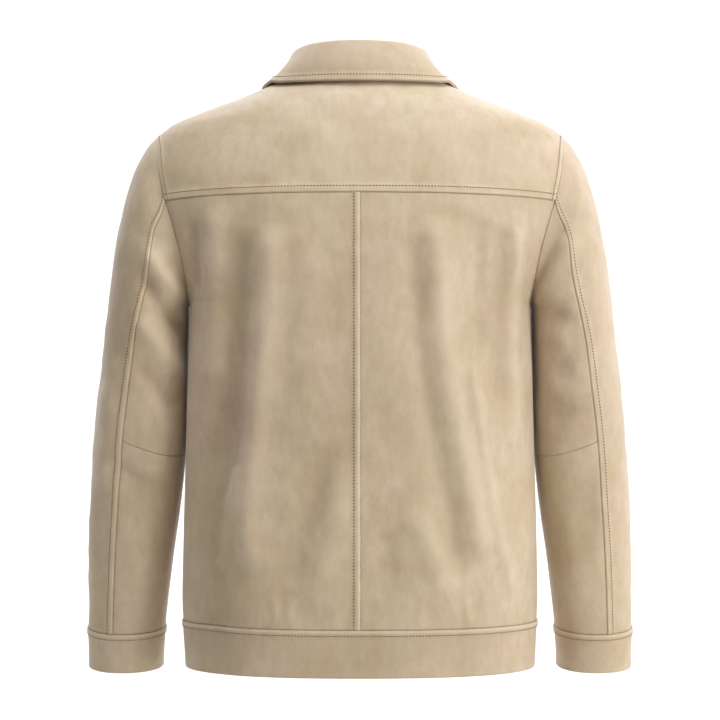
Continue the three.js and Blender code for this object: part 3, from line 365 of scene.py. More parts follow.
def back_surface(u, v):
    """Left back panel: u from its outer edge to the middle, v from the yoke to the hem band."""
    edge = back_edge_level(v)
    z = edge + (YOKE_SEAM + (HEM_TOP - YOKE_SEAM) * v - edge) * smooth_step(0, 0.9, u)
    top = back_yoke_seam(0) + YOKE_SEAM_DROP * smooth_step(0, 0.9, u)
    z = z + (back_yoke_seam(u) - top) * (1 - smooth_step(0, 0.3, v))
    outer = edge_turn("back", edge)
    return body_point("back", outer + (90 - outer) * column_share(u), z)


SEAM_DIP, SEAM_DIP_WIDTH, TURNED_DROP, TURNED_WIDTH = 0.6, 0.8, 0.85, 1.6
WELT_RISE, WELT_CROWN, WELT_END, STITCH_GROOVE, GROOVE_WIDTH = 0.9, 0.25, 3.5, 0.2, 0.7


def edge_lines(edge):
    """Grid lines beside one edge, in millimetres from it: close together over a seam or welt."""
    if edge["kind"] == "turned":
        lines = [0, 0.1, 0.35, 0.8, 1.5, 2.6]
    else:
        lines = [SEAM_GAP / 2, 0.3, 0.7, 1.2, 2, 3.2]
    if "stitch" in edge:
        s = edge["stitch"]
        lines += [0.7 * s, s - 1, s - 0.45, s, s + 0.45, s + 1.1, s + 2.2, s + 4]
    return np.array(lines)


def edge_height(edge, d):
    """Height of the cloth beside an edge: the dip of the seam, the welt and its stitched groove."""
    if edge["kind"] == "turned":
        height = -TURNED_DROP * (1 - np.sqrt(1 - (1 - np.clip(d / TURNED_WIDTH, 0, 1)) ** 2))
    else:
        height = -SEAM_DIP * np.exp(-(d / SEAM_DIP_WIDTH) ** 2)
    if "stitch" in edge:
        s = edge["stitch"]
        height = height + WELT_RISE * (1 - smooth_step(s - 0.2, s + WELT_END, d))
        height = height + WELT_CROWN * np.sin(np.pi * np.clip(d / s, 0, 1))
        height = height - STITCH_GROOVE * np.exp(-((d - s) / GROOVE_WIDTH) ** 2)
    return height


def edge_wear_and_painted_light(edge, d):
    """Painted highlight on a welt, partly nap rubbed lighter, and painted shade in the seam and along
    the stitches.
    """
    tone = -0.45 * np.exp(-(d / SEAM_DIP_WIDTH) ** 2)
    if "stitch" in edge:
        tone = tone + 0.55 * np.exp(-((d - 1.8) / 1.3) ** 2)
        tone = tone - 0.1 * np.exp(-((d - edge["stitch"]) / 0.8) ** 2)
    return tone


def grid_places(surface, edges, pitch):
    """Even grid of a surface: u, v and the distance to the left, right, top and bottom edge."""
    fine = np.linspace(0, 1, 121)

    def lines_of(low, high, length):
        first, last = edge_lines(edges[low]), edge_lines(edges[high])
        count = max(int(np.median(length) - first[-1] - last[-1]) // pitch, 4)
        shares = np.linspace(0, 1, int(count) + 1)[1:-1]
        start, end = first[-1], length[:, None] - last[-1]
        middle = start + (end - start) * shares
        ones = np.ones((len(length), 1))
        return np.concatenate([ones * first, middle, length[:, None] - last[::-1]], axis=1)

    def measured(other, down):
        u, v = np.meshgrid(fine, other) if not down else np.meshgrid(fine, other)[::-1]
        points = surface(u, v)
        steps = np.linalg.norm(np.diff(points, axis=1), axis=-1)
        return np.concatenate([np.zeros((len(other), 1)), np.cumsum(steps, axis=1)], axis=1)

    probe = np.linspace(0, 1, 33)
    run_down = measured(probe, True)
    down_mm = lines_of("top", "bottom", run_down[:, -1])
    down_share = np.array([np.interp(mm, run, fine) for mm, run in zip(down_mm, run_down)])
    rows = down_mm.shape[1]
    row_middle = down_share[len(probe) // 2]
    run_across = measured(row_middle, False)
    across_mm = lines_of("left", "right", run_across[:, -1])
    u = np.array([np.interp(mm, run, fine) for mm, run in zip(across_mm, run_across)])
    columns = u.shape[1]
    v = np.empty((rows, columns))
    from_top = np.empty((rows, columns))
    total_down = np.empty((rows, columns))
    for i in range(rows):
        v[i] = np.interp(u[i], probe, down_share[:, i])
        from_top[i] = np.interp(u[i], probe, down_mm[:, i])
        total_down[i] = np.interp(u[i], probe, run_down[:, -1])
    total_across = np.repeat(run_across[:, -1:], columns, axis=1)
    distances = {"left": across_mm, "right": total_across - across_mm,
                 "top": from_top, "bottom": total_down - from_top}
    return u, v, distances


suede, tree = new_material("napped_split_suede")
# Suede is a split hide with a short nap: matt, soft at grazing angles, and mottled where the nap
# lies one way or the other. Blotches are 30 to 70 mm, the mottling about 9 mm. The nap itself is
# 0.3 mm, and is drawn 1 mm coarse so that it shows.
place = add_node(tree, "ShaderNodeTexCoord").outputs["Object"]
turned_place = add_node(tree, "ShaderNodeMapping", {
    "Vector": place, "Location": (3.1, 1.7, 0.4), "Scale": (1, 1, 0.55)}).outputs["Vector"]
blotches = add_node(tree, "ShaderNodeTexNoise", {
    "Vector": place, "Scale": 17, "Detail": 4, "Roughness": 0.55, "Distortion": 0.4})
hue_patches = add_node(tree, "ShaderNodeTexNoise", {
    "Vector": turned_place, "Scale": 13, "Detail": 3, "Roughness": 0.5})
mottling = add_node(tree, "ShaderNodeTexNoise", {
    "Vector": turned_place, "Scale": 95, "Detail": 4, "Roughness": 0.6})
nap = add_node(tree, "ShaderNodeTexNoise", {"Vector": place, "Scale": 900, "Detail": 2})
hue_share = add_node(tree, "ShaderNodeMapRange", {
    "Value": hue_patches.outputs["Fac"], "From Min": 0.36, "From Max": 0.64})
hide_colour = add_node(tree, "ShaderNodeMix", {
    0: hue_share.outputs["Result"], 6: linear("c8b99a"), 7: linear("cebaa1")}, data_type="RGBA")
blotch_share = add_node(tree, "ShaderNodeMapRange", {
    "Value": blotches.outputs["Fac"], "From Min": 0.38, "From Max": 0.7, "To Max": 0.5})
blotched = add_node(tree, "ShaderNodeMix", {
    0: blotch_share.outputs["Result"], 6: hide_colour.outputs[2], 7: linear("b39b76")},
    data_type="RGBA")
mottle_share = add_node(tree, "ShaderNodeMapRange", {
    "Value": mottling.outputs["Fac"], "From Min": 0.35, "From Max": 0.75, "To Max": 0.4})
mottled = add_node(tree, "ShaderNodeMix", {
    0: mottle_share.outputs["Result"], 6: blotched.outputs[2], 7: linear("a88f6b")},
    data_type="RGBA")
# Painted light from a per-point attribute: above 0 the colour goes towards a pale painted highlight
# (ead9c0), on fold ridges and welts, where the welt's nap is also rubbed lighter; below 0 towards a
# deep painted shade (765a38), in fold troughs, seams and stitch grooves.
painted_light_tone = add_node(tree, "ShaderNodeAttribute", attribute_name="painted_light_tone").outputs["Fac"]
highlight_and_wear_share = add_node(tree, "ShaderNodeMapRange", {"Value": painted_light_tone, "To Max": 0.5})
highlight_and_wear = add_node(tree, "ShaderNodeMix", {
    0: highlight_and_wear_share.outputs["Result"], 6: mottled.outputs[2], 7: linear("ead9c0")},
    data_type="RGBA")
shade_share = add_node(tree, "ShaderNodeMapRange", {
    "Value": painted_light_tone, "From Min": 0, "From Max": -1, "To Max": 0.6})
shaded = add_node(tree, "ShaderNodeMix", {
    0: shade_share.outputs["Result"], 6: highlight_and_wear.outputs[2], 7: linear("765a38")},
    data_type="RGBA")
soft_bump = add_node(tree, "ShaderNodeBump", {
    "Height": mottling.outputs["Fac"], "Strength": 0.35, "Distance": 0.0012})
nap_bump = add_node(tree, "ShaderNodeBump", {
    "Height": nap.outputs["Fac"], "Strength": 0.4, "Distance": 0.0004,
    "Normal": soft_bump.outputs["Normal"]})
hide = add_node(tree, "ShaderNodeBsdfPrincipled", {
    "Base Color": shaded.outputs[2], "Roughness": 0.62, "Specular IOR Level": 0.7,
    "Sheen Weight": 0.45, "Sheen Roughness": 0.45, "Sheen Tint": linear("efebee"),
    "Normal": nap_bump.outputs["Normal"]})
add_node(tree, "ShaderNodeOutputMaterial", {"Surface": hide.outputs["BSDF"]})


def add_piece(name, points, faces, material, smooth_angle=50):
    """Mesh object of points in millimetres, with its faces turned outwards."""
    points = np.asarray(points, float) / 1000
    faces = np.asarray(faces)
    first = points[faces[:, 0]]
    volume = 0
    for k in range(1, faces.shape[1] - 1):
        volume += np.sum(first * np.cross(points[faces[:, k]], points[faces[:, k + 1]]))
    if volume < 0:
        faces = faces[:, ::-1]
    mesh = bpy.data.meshes.new(name)
    mesh.from_pydata(points.tolist(), [], faces.tolist())
    mesh.shade_smooth()
    mesh.set_sharp_from_angle(angle=math.radians(smooth_angle))
    mesh.materials.append(material)
    piece = bpy.data.objects.new(name, mesh)
    scene.collection.objects.link(piece)
    return piece


def wall_faces(rows, columns, ringed=False):
    """Quads of a wall between an outer and an inner grid, closed at its rims."""
    out = np.arange(rows * columns).reshape(rows, columns)
    if ringed:
        out = np.concatenate([out, out[:, :1]], axis=1)
    inn = out + rows * columns
    corners = [
        (out[:-1, :-1], out[:-1, 1:], out[1:, 1:], out[1:, :-1]),
        (inn[:-1, :-1], inn[1:, :-1], inn[1:, 1:], inn[:-1, 1:]),
        (out[0, :-1], inn[0, :-1], inn[0, 1:], out[0, 1:]),
        (out[-1, 1:], inn[-1, 1:], inn[-1, :-1], out[-1, :-1])]
    if not ringed:
        corners.append((out[:-1, 0], out[1:, 0], inn[1:, 0], inn[:-1, 0]))
        corners.append((out[:-1, -1], inn[:-1, -1], inn[1:, -1], out[1:, -1]))
    return np.concatenate([np.stack(group, axis=-1).reshape(-1, 4) for group in corners])


def grid_normals(points):
    across = np.gradient(points, axis=1)
    down = np.gradient(points, axis=0)
    return unit(np.cross(across, down))


stitch_rows = []


def hang_suede(name, node, outer, inner, tone, ringed=False):
    """One suede wall from its outer and inner points, in place of its solid on the jacket."""
    points = np.concatenate([outer.reshape(-1, 3), inner.reshape(-1, 3)])
    piece = add_piece(name, points, wall_faces(*tone.shape, ringed), suede)
    values = np.concatenate([tone.ravel(), np.zeros(tone.size)]).astype(np.float32)
    piece.data.attributes.new("painted_light_tone", "FLOAT", "POINT").data.foreach_set("value", values)
    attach(piece, "jacket")
    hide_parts(node)


def suede_piece(name, node, surface, edges, height, out_hint, side=1, seam_normal=None,
                thickness=1.7, pitch=3.4, base_lift=0, shade=0, exact=None):
    """Cuts one panel from its surface, shapes its edges and folds, and hangs it on the jacket."""
    u, v, distances = grid_places(surface, edges, pitch)
    base = surface(u, v)
    normals = grid_normals(base) if exact is None else body_normal(exact, base)
    facing = np.sign(np.sum(normals * out_hint(base), axis=-1).mean())
    normals = normals * facing
    if seam_normal is not None:
        normals = seam_normal(u, v, base, normals, distances)
    lift = height(u, v, base * np.array([side, 1, 1]), distances) + base_lift
    # Painted light: the colour follows the fold height, lighter as a painted highlight on ridges and
    # darker as painted shade in troughs; the shade argument darkens the whole piece the same way.
    tone = 0.075 * np.clip(lift - base_lift, -7, 6) - shade
    profile = np.zeros_like(lift)
    for key, edge in edges.items():
        share = edge["where"](u, v) if "where" in edge else 1
        bare, d = {"kind": edge["kind"]}, distances[key]
        profile += share * edge_height(edge, d) + (1 - share) * edge_height(bare, d)
        tone += share * edge_wear_and_painted_light(edge, d) + (1 - share) * edge_wear_and_painted_light(bare, d)
    profile = np.maximum(profile, -1)
    mirror = np.array([side, 1, 1])
    outer = (base + normals * (lift + profile)[..., None]) * mirror
    inner = (base + normals * (lift - thickness)[..., None]) * mirror
    for key, edge in edges.items():
        if "stitch" not in edge:
            continue
        at = int(np.argmin(np.abs(edge_lines(edge) - edge["stitch"])))
        line = {"left": (slice(None), at), "right": (slice(None), -1 - at),
                "top": (at, slice(None)), "bottom": (-1 - at, slice(None))}[key]
        path, out = outer[line], (normals * mirror)[line]
        share = edge["where"](u, v)[line] if "where" in edge else np.ones(len(path))
        stitch_rows.append((path[share > 0.5], out[share > 0.5]))
    hang_suede(name, node, outer, inner, tone)


PLAIN = {"kind": "seam"}
SIDES = [("left", 1), ("right", -1)]


def to_nearest_edge(distances):
    return np.minimum(np.minimum(distances["left"], distances["right"]),
                      np.minimum(distances["top"], distances["bottom"]))


def body_height(face):
    def height(u, v, points, distances):
        x, y, z = points[..., 0], np.abs(points[..., 1]), points[..., 2]
        folds = fold_height(BODY_FOLDS, face, x, z) * smooth_step(20, 70, y)
        soft = 0.6 * unevenness(points, 42, 3) + 0.25 * unevenness(points, 17, 4)
        return (folds * smooth_step(0, 24, distances["left"])
                + soft * smooth_step(6, 45, y) * smooth_step(0, 16, to_nearest_edge(distances)))
    return height


def from_axis(points):
    return points * np.array([1, 1, 0])


def armhole_side(face):
    """Leans a body panel's edge to the shared way out of the armhole seam."""
    def lean(u, v, points, normals, distances):
        z = points[..., 2]
        height = np.clip((z - ARMHOLE_MID[2]) / ARMHOLE_RUN[2], -1, 1)
        turn = np.degrees(np.arccos(height))
        turn = turn if face == "back" else 360 - turn
        beside = np.exp(-(distances["left"] / 4) ** 2)
        beside = beside * ((z < ARMHOLE_TOP) & (z > UNDERARM))
        return unit(normals + (armhole_normal(turn) - normals) * beside[..., None])
    return lean


for side_name, side in SIDES:
    welted = {"kind": "seam", "stitch": 6.6} if side > 0 else PLAIN
    suede_piece(
        f"suede_back_{side_name}", f"back_{side_name}", back_surface,
        {"left": PLAIN, "right": welted, "top": PLAIN, "bottom": PLAIN},
        body_height("back"), from_axis, side, armhole_side("back"),
        exact="back")

# Back yoke: one piece of suede from armhole to armhole, up to the shoulder seams and the neck.
# Its lower edge lies over the back panels and its ends over the sleeves, each topstitched, so
# that a raised welt runs along both.
NECK_LEVEL = 36
yoke_edge_level = edge_level(NECK_LEVEL, 0, YOKE_END_TURN, None)


def yoke_half(u, v):
    edge = yoke_edge_level(v)
    z = edge + (NECK_LEVEL + (YOKE_SEAM - NECK_LEVEL) * v - edge) * smooth_step(0, 0.9, u)
    bottom = back_yoke_seam(0) + YOKE_SEAM_DROP * smooth_step(0, 0.9, u)
    z = z + (back_yoke_seam(u) - bottom) * smooth_step(0.6, 1, v)
    outer = edge_turn("back", edge)
    return body_point("back", outer + (90 - outer) * column_share(u), z)


def yoke_surface(u, v):
    left = u <= 0.5
    points = yoke_half(np.where(left, 2 * u, 2 - 2 * u), v)
    return points * np.stack([np.where(left, 1, -1), np.ones_like(u), np.ones_like(u)], axis=-1)


def neck_lean(normals, points, from_neck):
    """Leans a rim half way to the collar stand that rises from it."""
    outward = unit(points * np.array([1, 1, 0]))
    beside = np.exp(-(from_neck / 4) ** 2)[..., None]
    return unit(normals + (unit(normals + outward) - normals) * beside)


def yoke_lean(u, v, points, normals, distances):
    mirror = np.sign(points[..., :1])
    mirror = np.concatenate([mirror, np.ones_like(mirror), np.ones_like(mirror)], axis=-1)
    either = {"left": np.minimum(distances["left"], distances["right"])}
    leaned = armhole_side("back")(u, v, points * mirror, normals * mirror, either) * mirror
    return neck_lean(leaned, points, distances["top"])


def yoke_height(u, v, points, distances):
    soft = 0.5 * unevenness(points, 42, 3) + 0.2 * unevenness(points, 17, 4)
    return (soft * smooth_step(6, 45, np.abs(points[..., 1]))
            * smooth_step(0, 16, to_nearest_edge(distances)))


yoke_shoulder_share = float(np.interp(
    -ARMHOLE_TOP, -yoke_edge_level(np.linspace(0, 1, 400)), np.linspace(0, 1, 400)))
yoke_end = {"kind": "seam", "stitch": 6.4,
            "where": lambda u, v: smooth_step(yoke_shoulder_share, yoke_shoulder_share + 0.05, v)}
suede_piece(
    "suede_back_yoke", "back_yoke", yoke_surface,
    {"left": yoke_end, "right": yoke_end, "top": PLAIN, "bottom": {"kind": "seam", "stitch": 7}},
    yoke_height, from_axis, 1, yoke_lean, exact="back")

# Fronts, left and right: one panel each from the shoulder and the round neckline to the hem band.
# The edge at the zip is turned in over the tape and topstitched. No pocket shows or is needed.
FRONT_NECK_DROP, NECK_HALF_WIDTH, ZIP_HALF_OPENING = 81, 72, 4.5
LAST_NECK_ANGLE = math.acos(ZIP_HALF_OPENING / NECK_HALF_WIDTH)
front_edge_level = edge_level(NECK_LEVEL, 360, 180, HEM_TOP)


def neckline(share):
    """Front half of the neck seam from the shoulder, 0, to the zip, 1: turn and level."""
    angle = LAST_NECK_ANGLE * share
    z = NECK_LEVEL - FRONT_NECK_DROP * np.sin(angle) ** 2 / math.sin(LAST_NECK_ANGLE) ** 2
    return turn_of_x("front", NECK_HALF_WIDTH * np.cos(angle), z), z


def front_surface(u, v):
    edge = front_edge_level(v)
    middle = NECK_LEVEL - FRONT_NECK_DROP + (HEM_TOP - NECK_LEVEL + FRONT_NECK_DROP) * v
    rise = np.sin(LAST_NECK_ANGLE * u) ** 2 / math.sin(LAST_NECK_ANGLE) ** 2
    z = edge + (middle - edge) * rise
    outer = edge_turn("front", edge)
    inner = turn_of_x("front", ZIP_HALF_OPENING, z)
    neck_turn, neck_z = neckline(u)
    round_share = neck_turn / turn_of_x("front", ZIP_HALF_OPENING, neck_z)
    round_weight = 1 - smooth_step(0, 0.36, v)
    share = column_share(u) + (round_share - column_share(u)) * round_weight
    return body_point("front", outer + (inner - outer) * share, z)


def front_lean(u, v, points, normals, distances):
    leaned = armhole_side("front")(u, v, points, normals, distances)
    return neck_lean(leaned, points, distances["top"])


for side_name, side in SIDES:
    suede_piece(
        f"suede_front_{side_name}", f"front_{side_name}", front_surface,
        {"left": PLAIN, "right": {"kind": "turned", "stitch": 6.6}, "top": PLAIN, "bottom": PLAIN},
        body_height("front"), from_axis, side, front_lean, exact="front")

# Sleeves: a top sleeve over the outside of the arm, and an undersleeve cut in two at the elbow.
# The top sleeve's back edge lies over the undersleeve and is topstitched: a raised welt from the
# yoke's end to the cuff. The front seam and the elbow seam are plain.
SLEEVE_RINGS = [
    (0, 231, -33, 195.5, -225, 0, 62, 2, 0), (1, 244, -46, 196.6, -227.5, -2, 64, 2, 0),
    (2, 260, -76, 197.2, -230.5, -4, 66.5, 2.05, 0), (3, 271, -112, 197.5, -234.5, -7, 69, 2.1, 0),
    (4, 280, -152, 197.6, -240.5, -10, 71.5, 2.15, 0), (5, 287, -200, 197.8, -251, -14, 73, 2.2, 0),
    (6, 294, -256, 198.4, -276, -18, 72, 2.2, 1), (7, 301, -316, 199.2, -324, -22, 67.5, 2.2, 3),
    (8, 308, -373, 200.6, -380, -26, 62, 2.2, 6), (9, 313.4, -452, 208, -452, -31, 56, 2.2, 8),
    (10, 316, -525, 218.5, -525, -37, 51, 2.15, 8), (11, 317.2, -600, 227.5, -600, -42, 46.5, 2.1, 7),
    (12, 316.9, -647, 230.5, -647, -47, 44.5, 2.1, 5)]
SLEEVE_SEAMS = [
    (0, 80, 247), (1, 84.5, 246), (2, 85.5, 245), (3, 89, 244), (4, 90.5, 243), (5, 88, 243),
    (6, 82.7, 243), (7, 78.5, 243), (8, 75.3, 243), (9, 75, 243), (10, 75, 243), (12, 76.3, 243)]
SLEEVE_FOLDS = [
    ("back", 11, 6.5, (240, -164), (222, -196), (198, -226)),
    ("back", 10, -6, (246, -196), (226, -226), (198, -262)),
    ("back", 12, 5.5, (252, -240), (226, -276), (200, -310)),
    ("back", 11, -4, (252, -292), (206, -348)),
    ("back", 12, -3, (270, -170), (274, -240), (278, -300)),
    ("back", 12, 3, (286, -310), (292, -450)),
    ("back", 12, -3, (284, -400), (240, -440)), ("back", 14, 2.5, (264, -470), (250, -560)),
    ("front", 10, 5.5, (242, -160), (212, -222)), ("front", 9, -5, (246, -205), (216, -262)),
    ("front", 11, -5, (284, -350), (232, -372)), ("front", 10, 4.5, (292, -385), (228, -404)),
    ("front", 12, -4, (290, -430), (240, -452)),
    ("right back", 11, 5, (-242, -150), (-222, -188), (-198, -228)),
    ("right back", 9, -4, (-230, -134), (-208, -180), (-196, -204)),
    ("right back", 11, -4, (-214, -230), (-236, -250)),
    ("right back", 12, -4, (-220, -288), (-238, -316)),
    ("right back", 12, 3, (-208, -262), (-240, -274)),
    ("right back", 13, -3, (-212, -352), (-244, -344)),
    ("right back", 13, 2.5, (-286, -200), (-294, -330)),
    ("right back", 14, -2.5, (-262, -430), (-256, -520)),
    ("right front", 10, 5, (-238, -152), (-210, -214)),
    ("right front", 10, -5, (-248, -200), (-214, -268)),
    ("right front", 12, -5, (-288, -340), (-236, -366)),
    ("right front", 10, 4.5, (-290, -376), (-232, -398)),
    ("right front", 13, -3.5, (-286, -440), (-244, -448))]
ELBOW_RING, ELBOW_DIP, CUFF_RING, CUFF_END_RING = 8, 0.25, 11, 12
sleeve_ring = through_rows(SLEEVE_RINGS)
sleeve_seam = through_rows(SLEEVE_SEAMS)


def sleeve_point(ring, turn):
    """Surface of the sleeve: turn 0 is its outside, 90 the back, 180 the inside, 270 the front."""
    out_x, out_z, in_x, in_z, mid_y, depth, power, tilt = sleeve_ring(ring)
    angle = np.radians(turn)
    across = signed_power(np.cos(angle), 2 / power)
    deep = signed_power(np.sin(angle), 2 / power)
    bow = ARMHOLE["bow"] * np.sin(np.pi * (1 - across)) * np.maximum(1 - ring / 3, 0)
    return np.stack([
        (out_x + in_x) / 2 + (out_x - in_x) / 2 * across + bow, mid_y + depth * deep,
        (out_z + in_z) / 2 + (out_z - in_z) / 2 * across - depth * deep * np.tan(np.radians(tilt)),
    ], axis=-1)


def ring_of(points):
    return np.interp(-points[..., 2], [33, 225, 373, 452, 525, 600, 647], [0, 5, 8, 9, 10, 11, 12])


def from_sleeve_axis(points):
    _, _, _, _, mid_y, _, _, _ = sleeve_ring(ring_of(points))
    return np.stack([points[..., 0] - 255, points[..., 1] - mid_y, np.zeros_like(mid_y)], axis=-1)


def sleeve_height(ring_at):
    def height(u, v, points, distances):
        ring = ring_at(u, v)
        x, y, z = points[..., 0], points[..., 1], points[..., 2]
        _, _, _, _, mid_y, depth, _, _ = sleeve_ring(ring)
        deep = np.abs(y - mid_y) / depth
        arm = "" if x.mean() > 0 else "right "
        folds = np.where(y >= mid_y, fold_height(SLEEVE_FOLDS, arm + "back", x, z),
                         fold_height(SLEEVE_FOLDS, arm + "front", x, z))
        folds = folds * smooth_step(0.2, 0.7, deep) * smooth_step(0, 2, ring)
        soft = 0.55 * unevenness(points, 36, 5) + 0.25 * unevenness(points, 15, 6)
        outside = np.maximum(smooth_step(0.15, 0.6, deep), smooth_step(255, 290, np.abs(x)))
        return folds + soft * outside * smooth_step(0, 14, to_nearest_edge(distances))
    return height


def sleeve_lean(turn_at):
    def lean(u, v, points, normals, distances):
        beside = np.exp(-(distances["top"] / 4) ** 2)
        return unit(normals + (armhole_normal(turn_at(u, v) % 360) - normals) * beside[..., None])
    return lean


def top_ring(u, v):
    return v * CUFF_RING


def top_turn(u, v):
    back, front = sleeve_seam(top_ring(u, v))
    return front + (back + 360 - front) * u


def under_turn(ring, u):
    back, front = sleeve_seam(ring)
    return back + (front - back) * u


def upper_ring(u, v):
    return v * (ELBOW_RING + ELBOW_DIP * 4 * u * (1 - u))


def lower_ring(u, v):
    start = ELBOW_RING + ELBOW_DIP * 4 * u * (1 - u)
    return start + (CUFF_RING - start) * v


for side_name, side in SIDES:
    suede_piece(
        f"suede_sleeve_top_{side_name}", f"sleeve_top_{side_name}",
        lambda u, v: sleeve_point(top_ring(u, v), top_turn(u, v)),
        {"left": PLAIN, "right": {"kind": "seam", "stitch": 6.6}, "top": PLAIN, "bottom": PLAIN},
        sleeve_height(top_ring), from_sleeve_axis, side, sleeve_lean(top_turn))
    suede_piece(
        f"suede_undersleeve_upper_{side_name}", f"undersleeve_upper_{side_name}",
        lambda u, v: sleeve_point(upper_ring(u, v), under_turn(upper_ring(u, v), u)),
        {"left": PLAIN, "right": PLAIN, "top": PLAIN, "bottom": PLAIN},
        sleeve_height(upper_ring), from_sleeve_axis, side,
        sleeve_lean(lambda u, v: under_turn(upper_ring(u, v), u)))
    suede_piece(
        f"suede_undersleeve_lower_{side_name}", f"undersleeve_lower_{side_name}",
        lambda u, v: sleeve_point(lower_ring(u, v), under_turn(lower_ring(u, v), u)),
        {"left": PLAIN, "right": PLAIN, "top": PLAIN, "bottom": PLAIN},
        sleeve_height(lower_ring), from_sleeve_axis, side)

# Cuffs: plain bands of doubled suede, closed all round, topstitched below their upper edge and
# turned at the wrist.
BAND_RAISE, BAND_THICKNESS, BAND_COLUMNS = 0.6, 1.9, 130


def ring_piece(name, node, surface, edges, height, out_hint, side, pitch=3.2):
    """A band that closes on itself: v runs down it, u once round."""
    around = np.arange(0, 1, 1 / BAND_COLUMNS)
    fine = np.linspace(0, 1, 61)
    u, v = np.meshgrid(around, fine)
    run = np.linalg.norm(np.diff(surface(u, v), axis=0), axis=-1).mean(axis=1)
    run = np.concatenate([[0], np.cumsum(run)])
    first, last = edge_lines(edges["top"]), edge_lines(edges["bottom"])
    middle = np.arange(first[-1] + pitch, run[-1] - last[-1] - 0.5 * pitch, pitch)
    mm = np.concatenate([first, middle, run[-1] - last[::-1]])
    u, v = np.meshgrid(around, np.interp(mm, run, fine))
    base = surface(u, v)
    closed = np.concatenate([base[:, -1:], base, base[:, :1]], axis=1)
    normals = grid_normals(closed)[:, 1:-1]
    normals = normals * np.sign(np.sum(normals * out_hint(base), axis=-1).mean())
    down = np.repeat(mm[:, None], len(around), axis=1)
    distances = {"top": down, "bottom": run[-1] - down}
    profile = sum(edge_height(edges[key], distances[key]) for key in edges)
    # Painted highlight on the welt, partly rubbed nap, and painted shade in the seam and the stitch
    # groove.
    tone = sum(edge_wear_and_painted_light(edges[key], distances[key]) for key in edges)
    lift = height(base, distances)
    mirror = np.array([side, 1, 1])
    outer = (base + normals * (lift + profile)[..., None]) * mirror
    inner = (base + normals * (lift - BAND_THICKNESS)[..., None]) * mirror
    at = int(np.argmin(np.abs(first - edges["top"]["stitch"])))
    closed_path = np.concatenate([outer[at], outer[at, :1]])
    closed_out = np.concatenate([normals[at], normals[at, :1]]) * mirror
    stitch_rows.append((closed_path, closed_out))
    hang_suede(name, node, outer, inner, tone, ringed=True)


def band_height(points, distances):
    soft = 0.35 * unevenness(points, 30, 8)
    return (BAND_RAISE + soft * smooth_step(3, 14, distances["top"])
            * smooth_step(0, 8, distances["bottom"]))


for side_name, side in SIDES:
    ring_piece(
        f"suede_cuff_{side_name}", f"cuff_{side_name}",
        lambda u, v: sleeve_point(CUFF_RING + (CUFF_END_RING - CUFF_RING) * v, 360 * u),
        {"top": {"kind": "seam", "stitch": 6.4}, "bottom": {"kind": "turned"}},
        band_height, from_sleeve_axis, side)

# Hem band: one doubled strip of suede from the zip round the back to the zip again, topstitched
# below its upper edge.
def band_surface(u, v):
    across = np.abs(1 - 2 * u)
    z = HEM_TOP + (HEM_BOTTOM - HEM_TOP) * v
    first = turn_of_x("front", ZIP_HALF_OPENING, z)
    turn = 90 + (first - 90) * across
    behind = body_point("back", np.maximum(turn, 0), z)
    before = body_point("front", np.minimum(turn, 0), z)
    points = np.where((turn >= 0)[..., None], behind, before)
    return points * np.stack([np.where(u <= 0.5, 1, -1), np.ones_like(u), np.ones_like(u)], axis=-1)


def hem_height(u, v, points, distances):
    folds = np.where(points[..., 1] >= 0,
                     fold_height(BODY_FOLDS, "back", points[..., 0], points[..., 2]),
                     fold_height(BODY_FOLDS, "front", points[..., 0], points[..., 2]))
    soft = 0.4 * unevenness(points, 40, 9)
    return (folds * smooth_step(20, 70, np.abs(points[..., 1]))
            + soft * smooth_step(3, 14, distances["top"]) * smooth_step(0, 8, distances["bottom"]))


suede_piece(
    "suede_hem_band", "hem_band", band_surface,
    {"left": {"kind": "turned"}, "right": {"kind": "turned"},
     "top": {"kind": "seam", "stitch": 6}, "bottom": {"kind": "turned"}},
    hem_height, from_axis, 1, base_lift=BAND_RAISE, thickness=2.1)

# Collar: a low stand sewn into the neck seam, and a leaf that rolls over its top and falls over
# the yoke and the fronts. The leaf is doubled suede, topstitched round its three free edges.
COLLAR_SHAPE = [
    (0, 21, 3.5, 90, 18, 4), (0.5, 20, 3.5, 45, 18.5, 1.5), (1, 16, 3, 0, 22.3, -3.5),
    (1.35, 15, 3, -46, 3, -1), (1.7, 14, 3, -67, -36, 2), (2, 13, 3, -77, -80, 3)]
LEAF_CLEARANCE, LEAF_HALF = 4.2, 1.1
LEAF_ROLL = [(0, 0.3), (0.4, 5.5), (3.6, 9.6), (8.4, 9.2)]
LEAF_FALL = [0.3, 0.62, 0.9, 1]
collar_shape = through_rows(COLLAR_SHAPE)


def neck_seam(along):
    """The neck seam from the centre back, 0, by the shoulder, 1, to the zip, 2: its points, the
    way out of the seam, and the level way out of the neck."""
    share = np.maximum(along - 1, 0)
    front_turn, front_z = neckline(share)
    behind = body_point("back", 90 * (1 - np.minimum(along, 1)), np.full_like(along, NECK_LEVEL))
    before = body_point("front", front_turn, front_z)
    back_side = (along <= 1)[..., None]
    point = np.where(back_side, behind, before)
    normal = np.where(back_side, body_normal("back", behind), body_normal("front", before))
    outward = unit(point * np.array([1, 1, 0]))
    return point, unit(normal + outward), outward


def collar_along(u):
    return np.abs(4 * u - 2)


def mirrored(points, u):
    return points * np.stack([np.where(u <= 0.5, 1, -1), np.ones_like(u), np.ones_like(u)], axis=-1)


def stand_surface(u, v):
    along = collar_along(u)
    point, _, outward = neck_seam(along)
    stand, lean, _, _, _ = collar_shape(along)
    top = point - outward * lean[..., None] + np.stack([0 * stand, 0 * stand, stand], axis=-1)
    return mirrored(point + (top - point) * v[..., None], u)


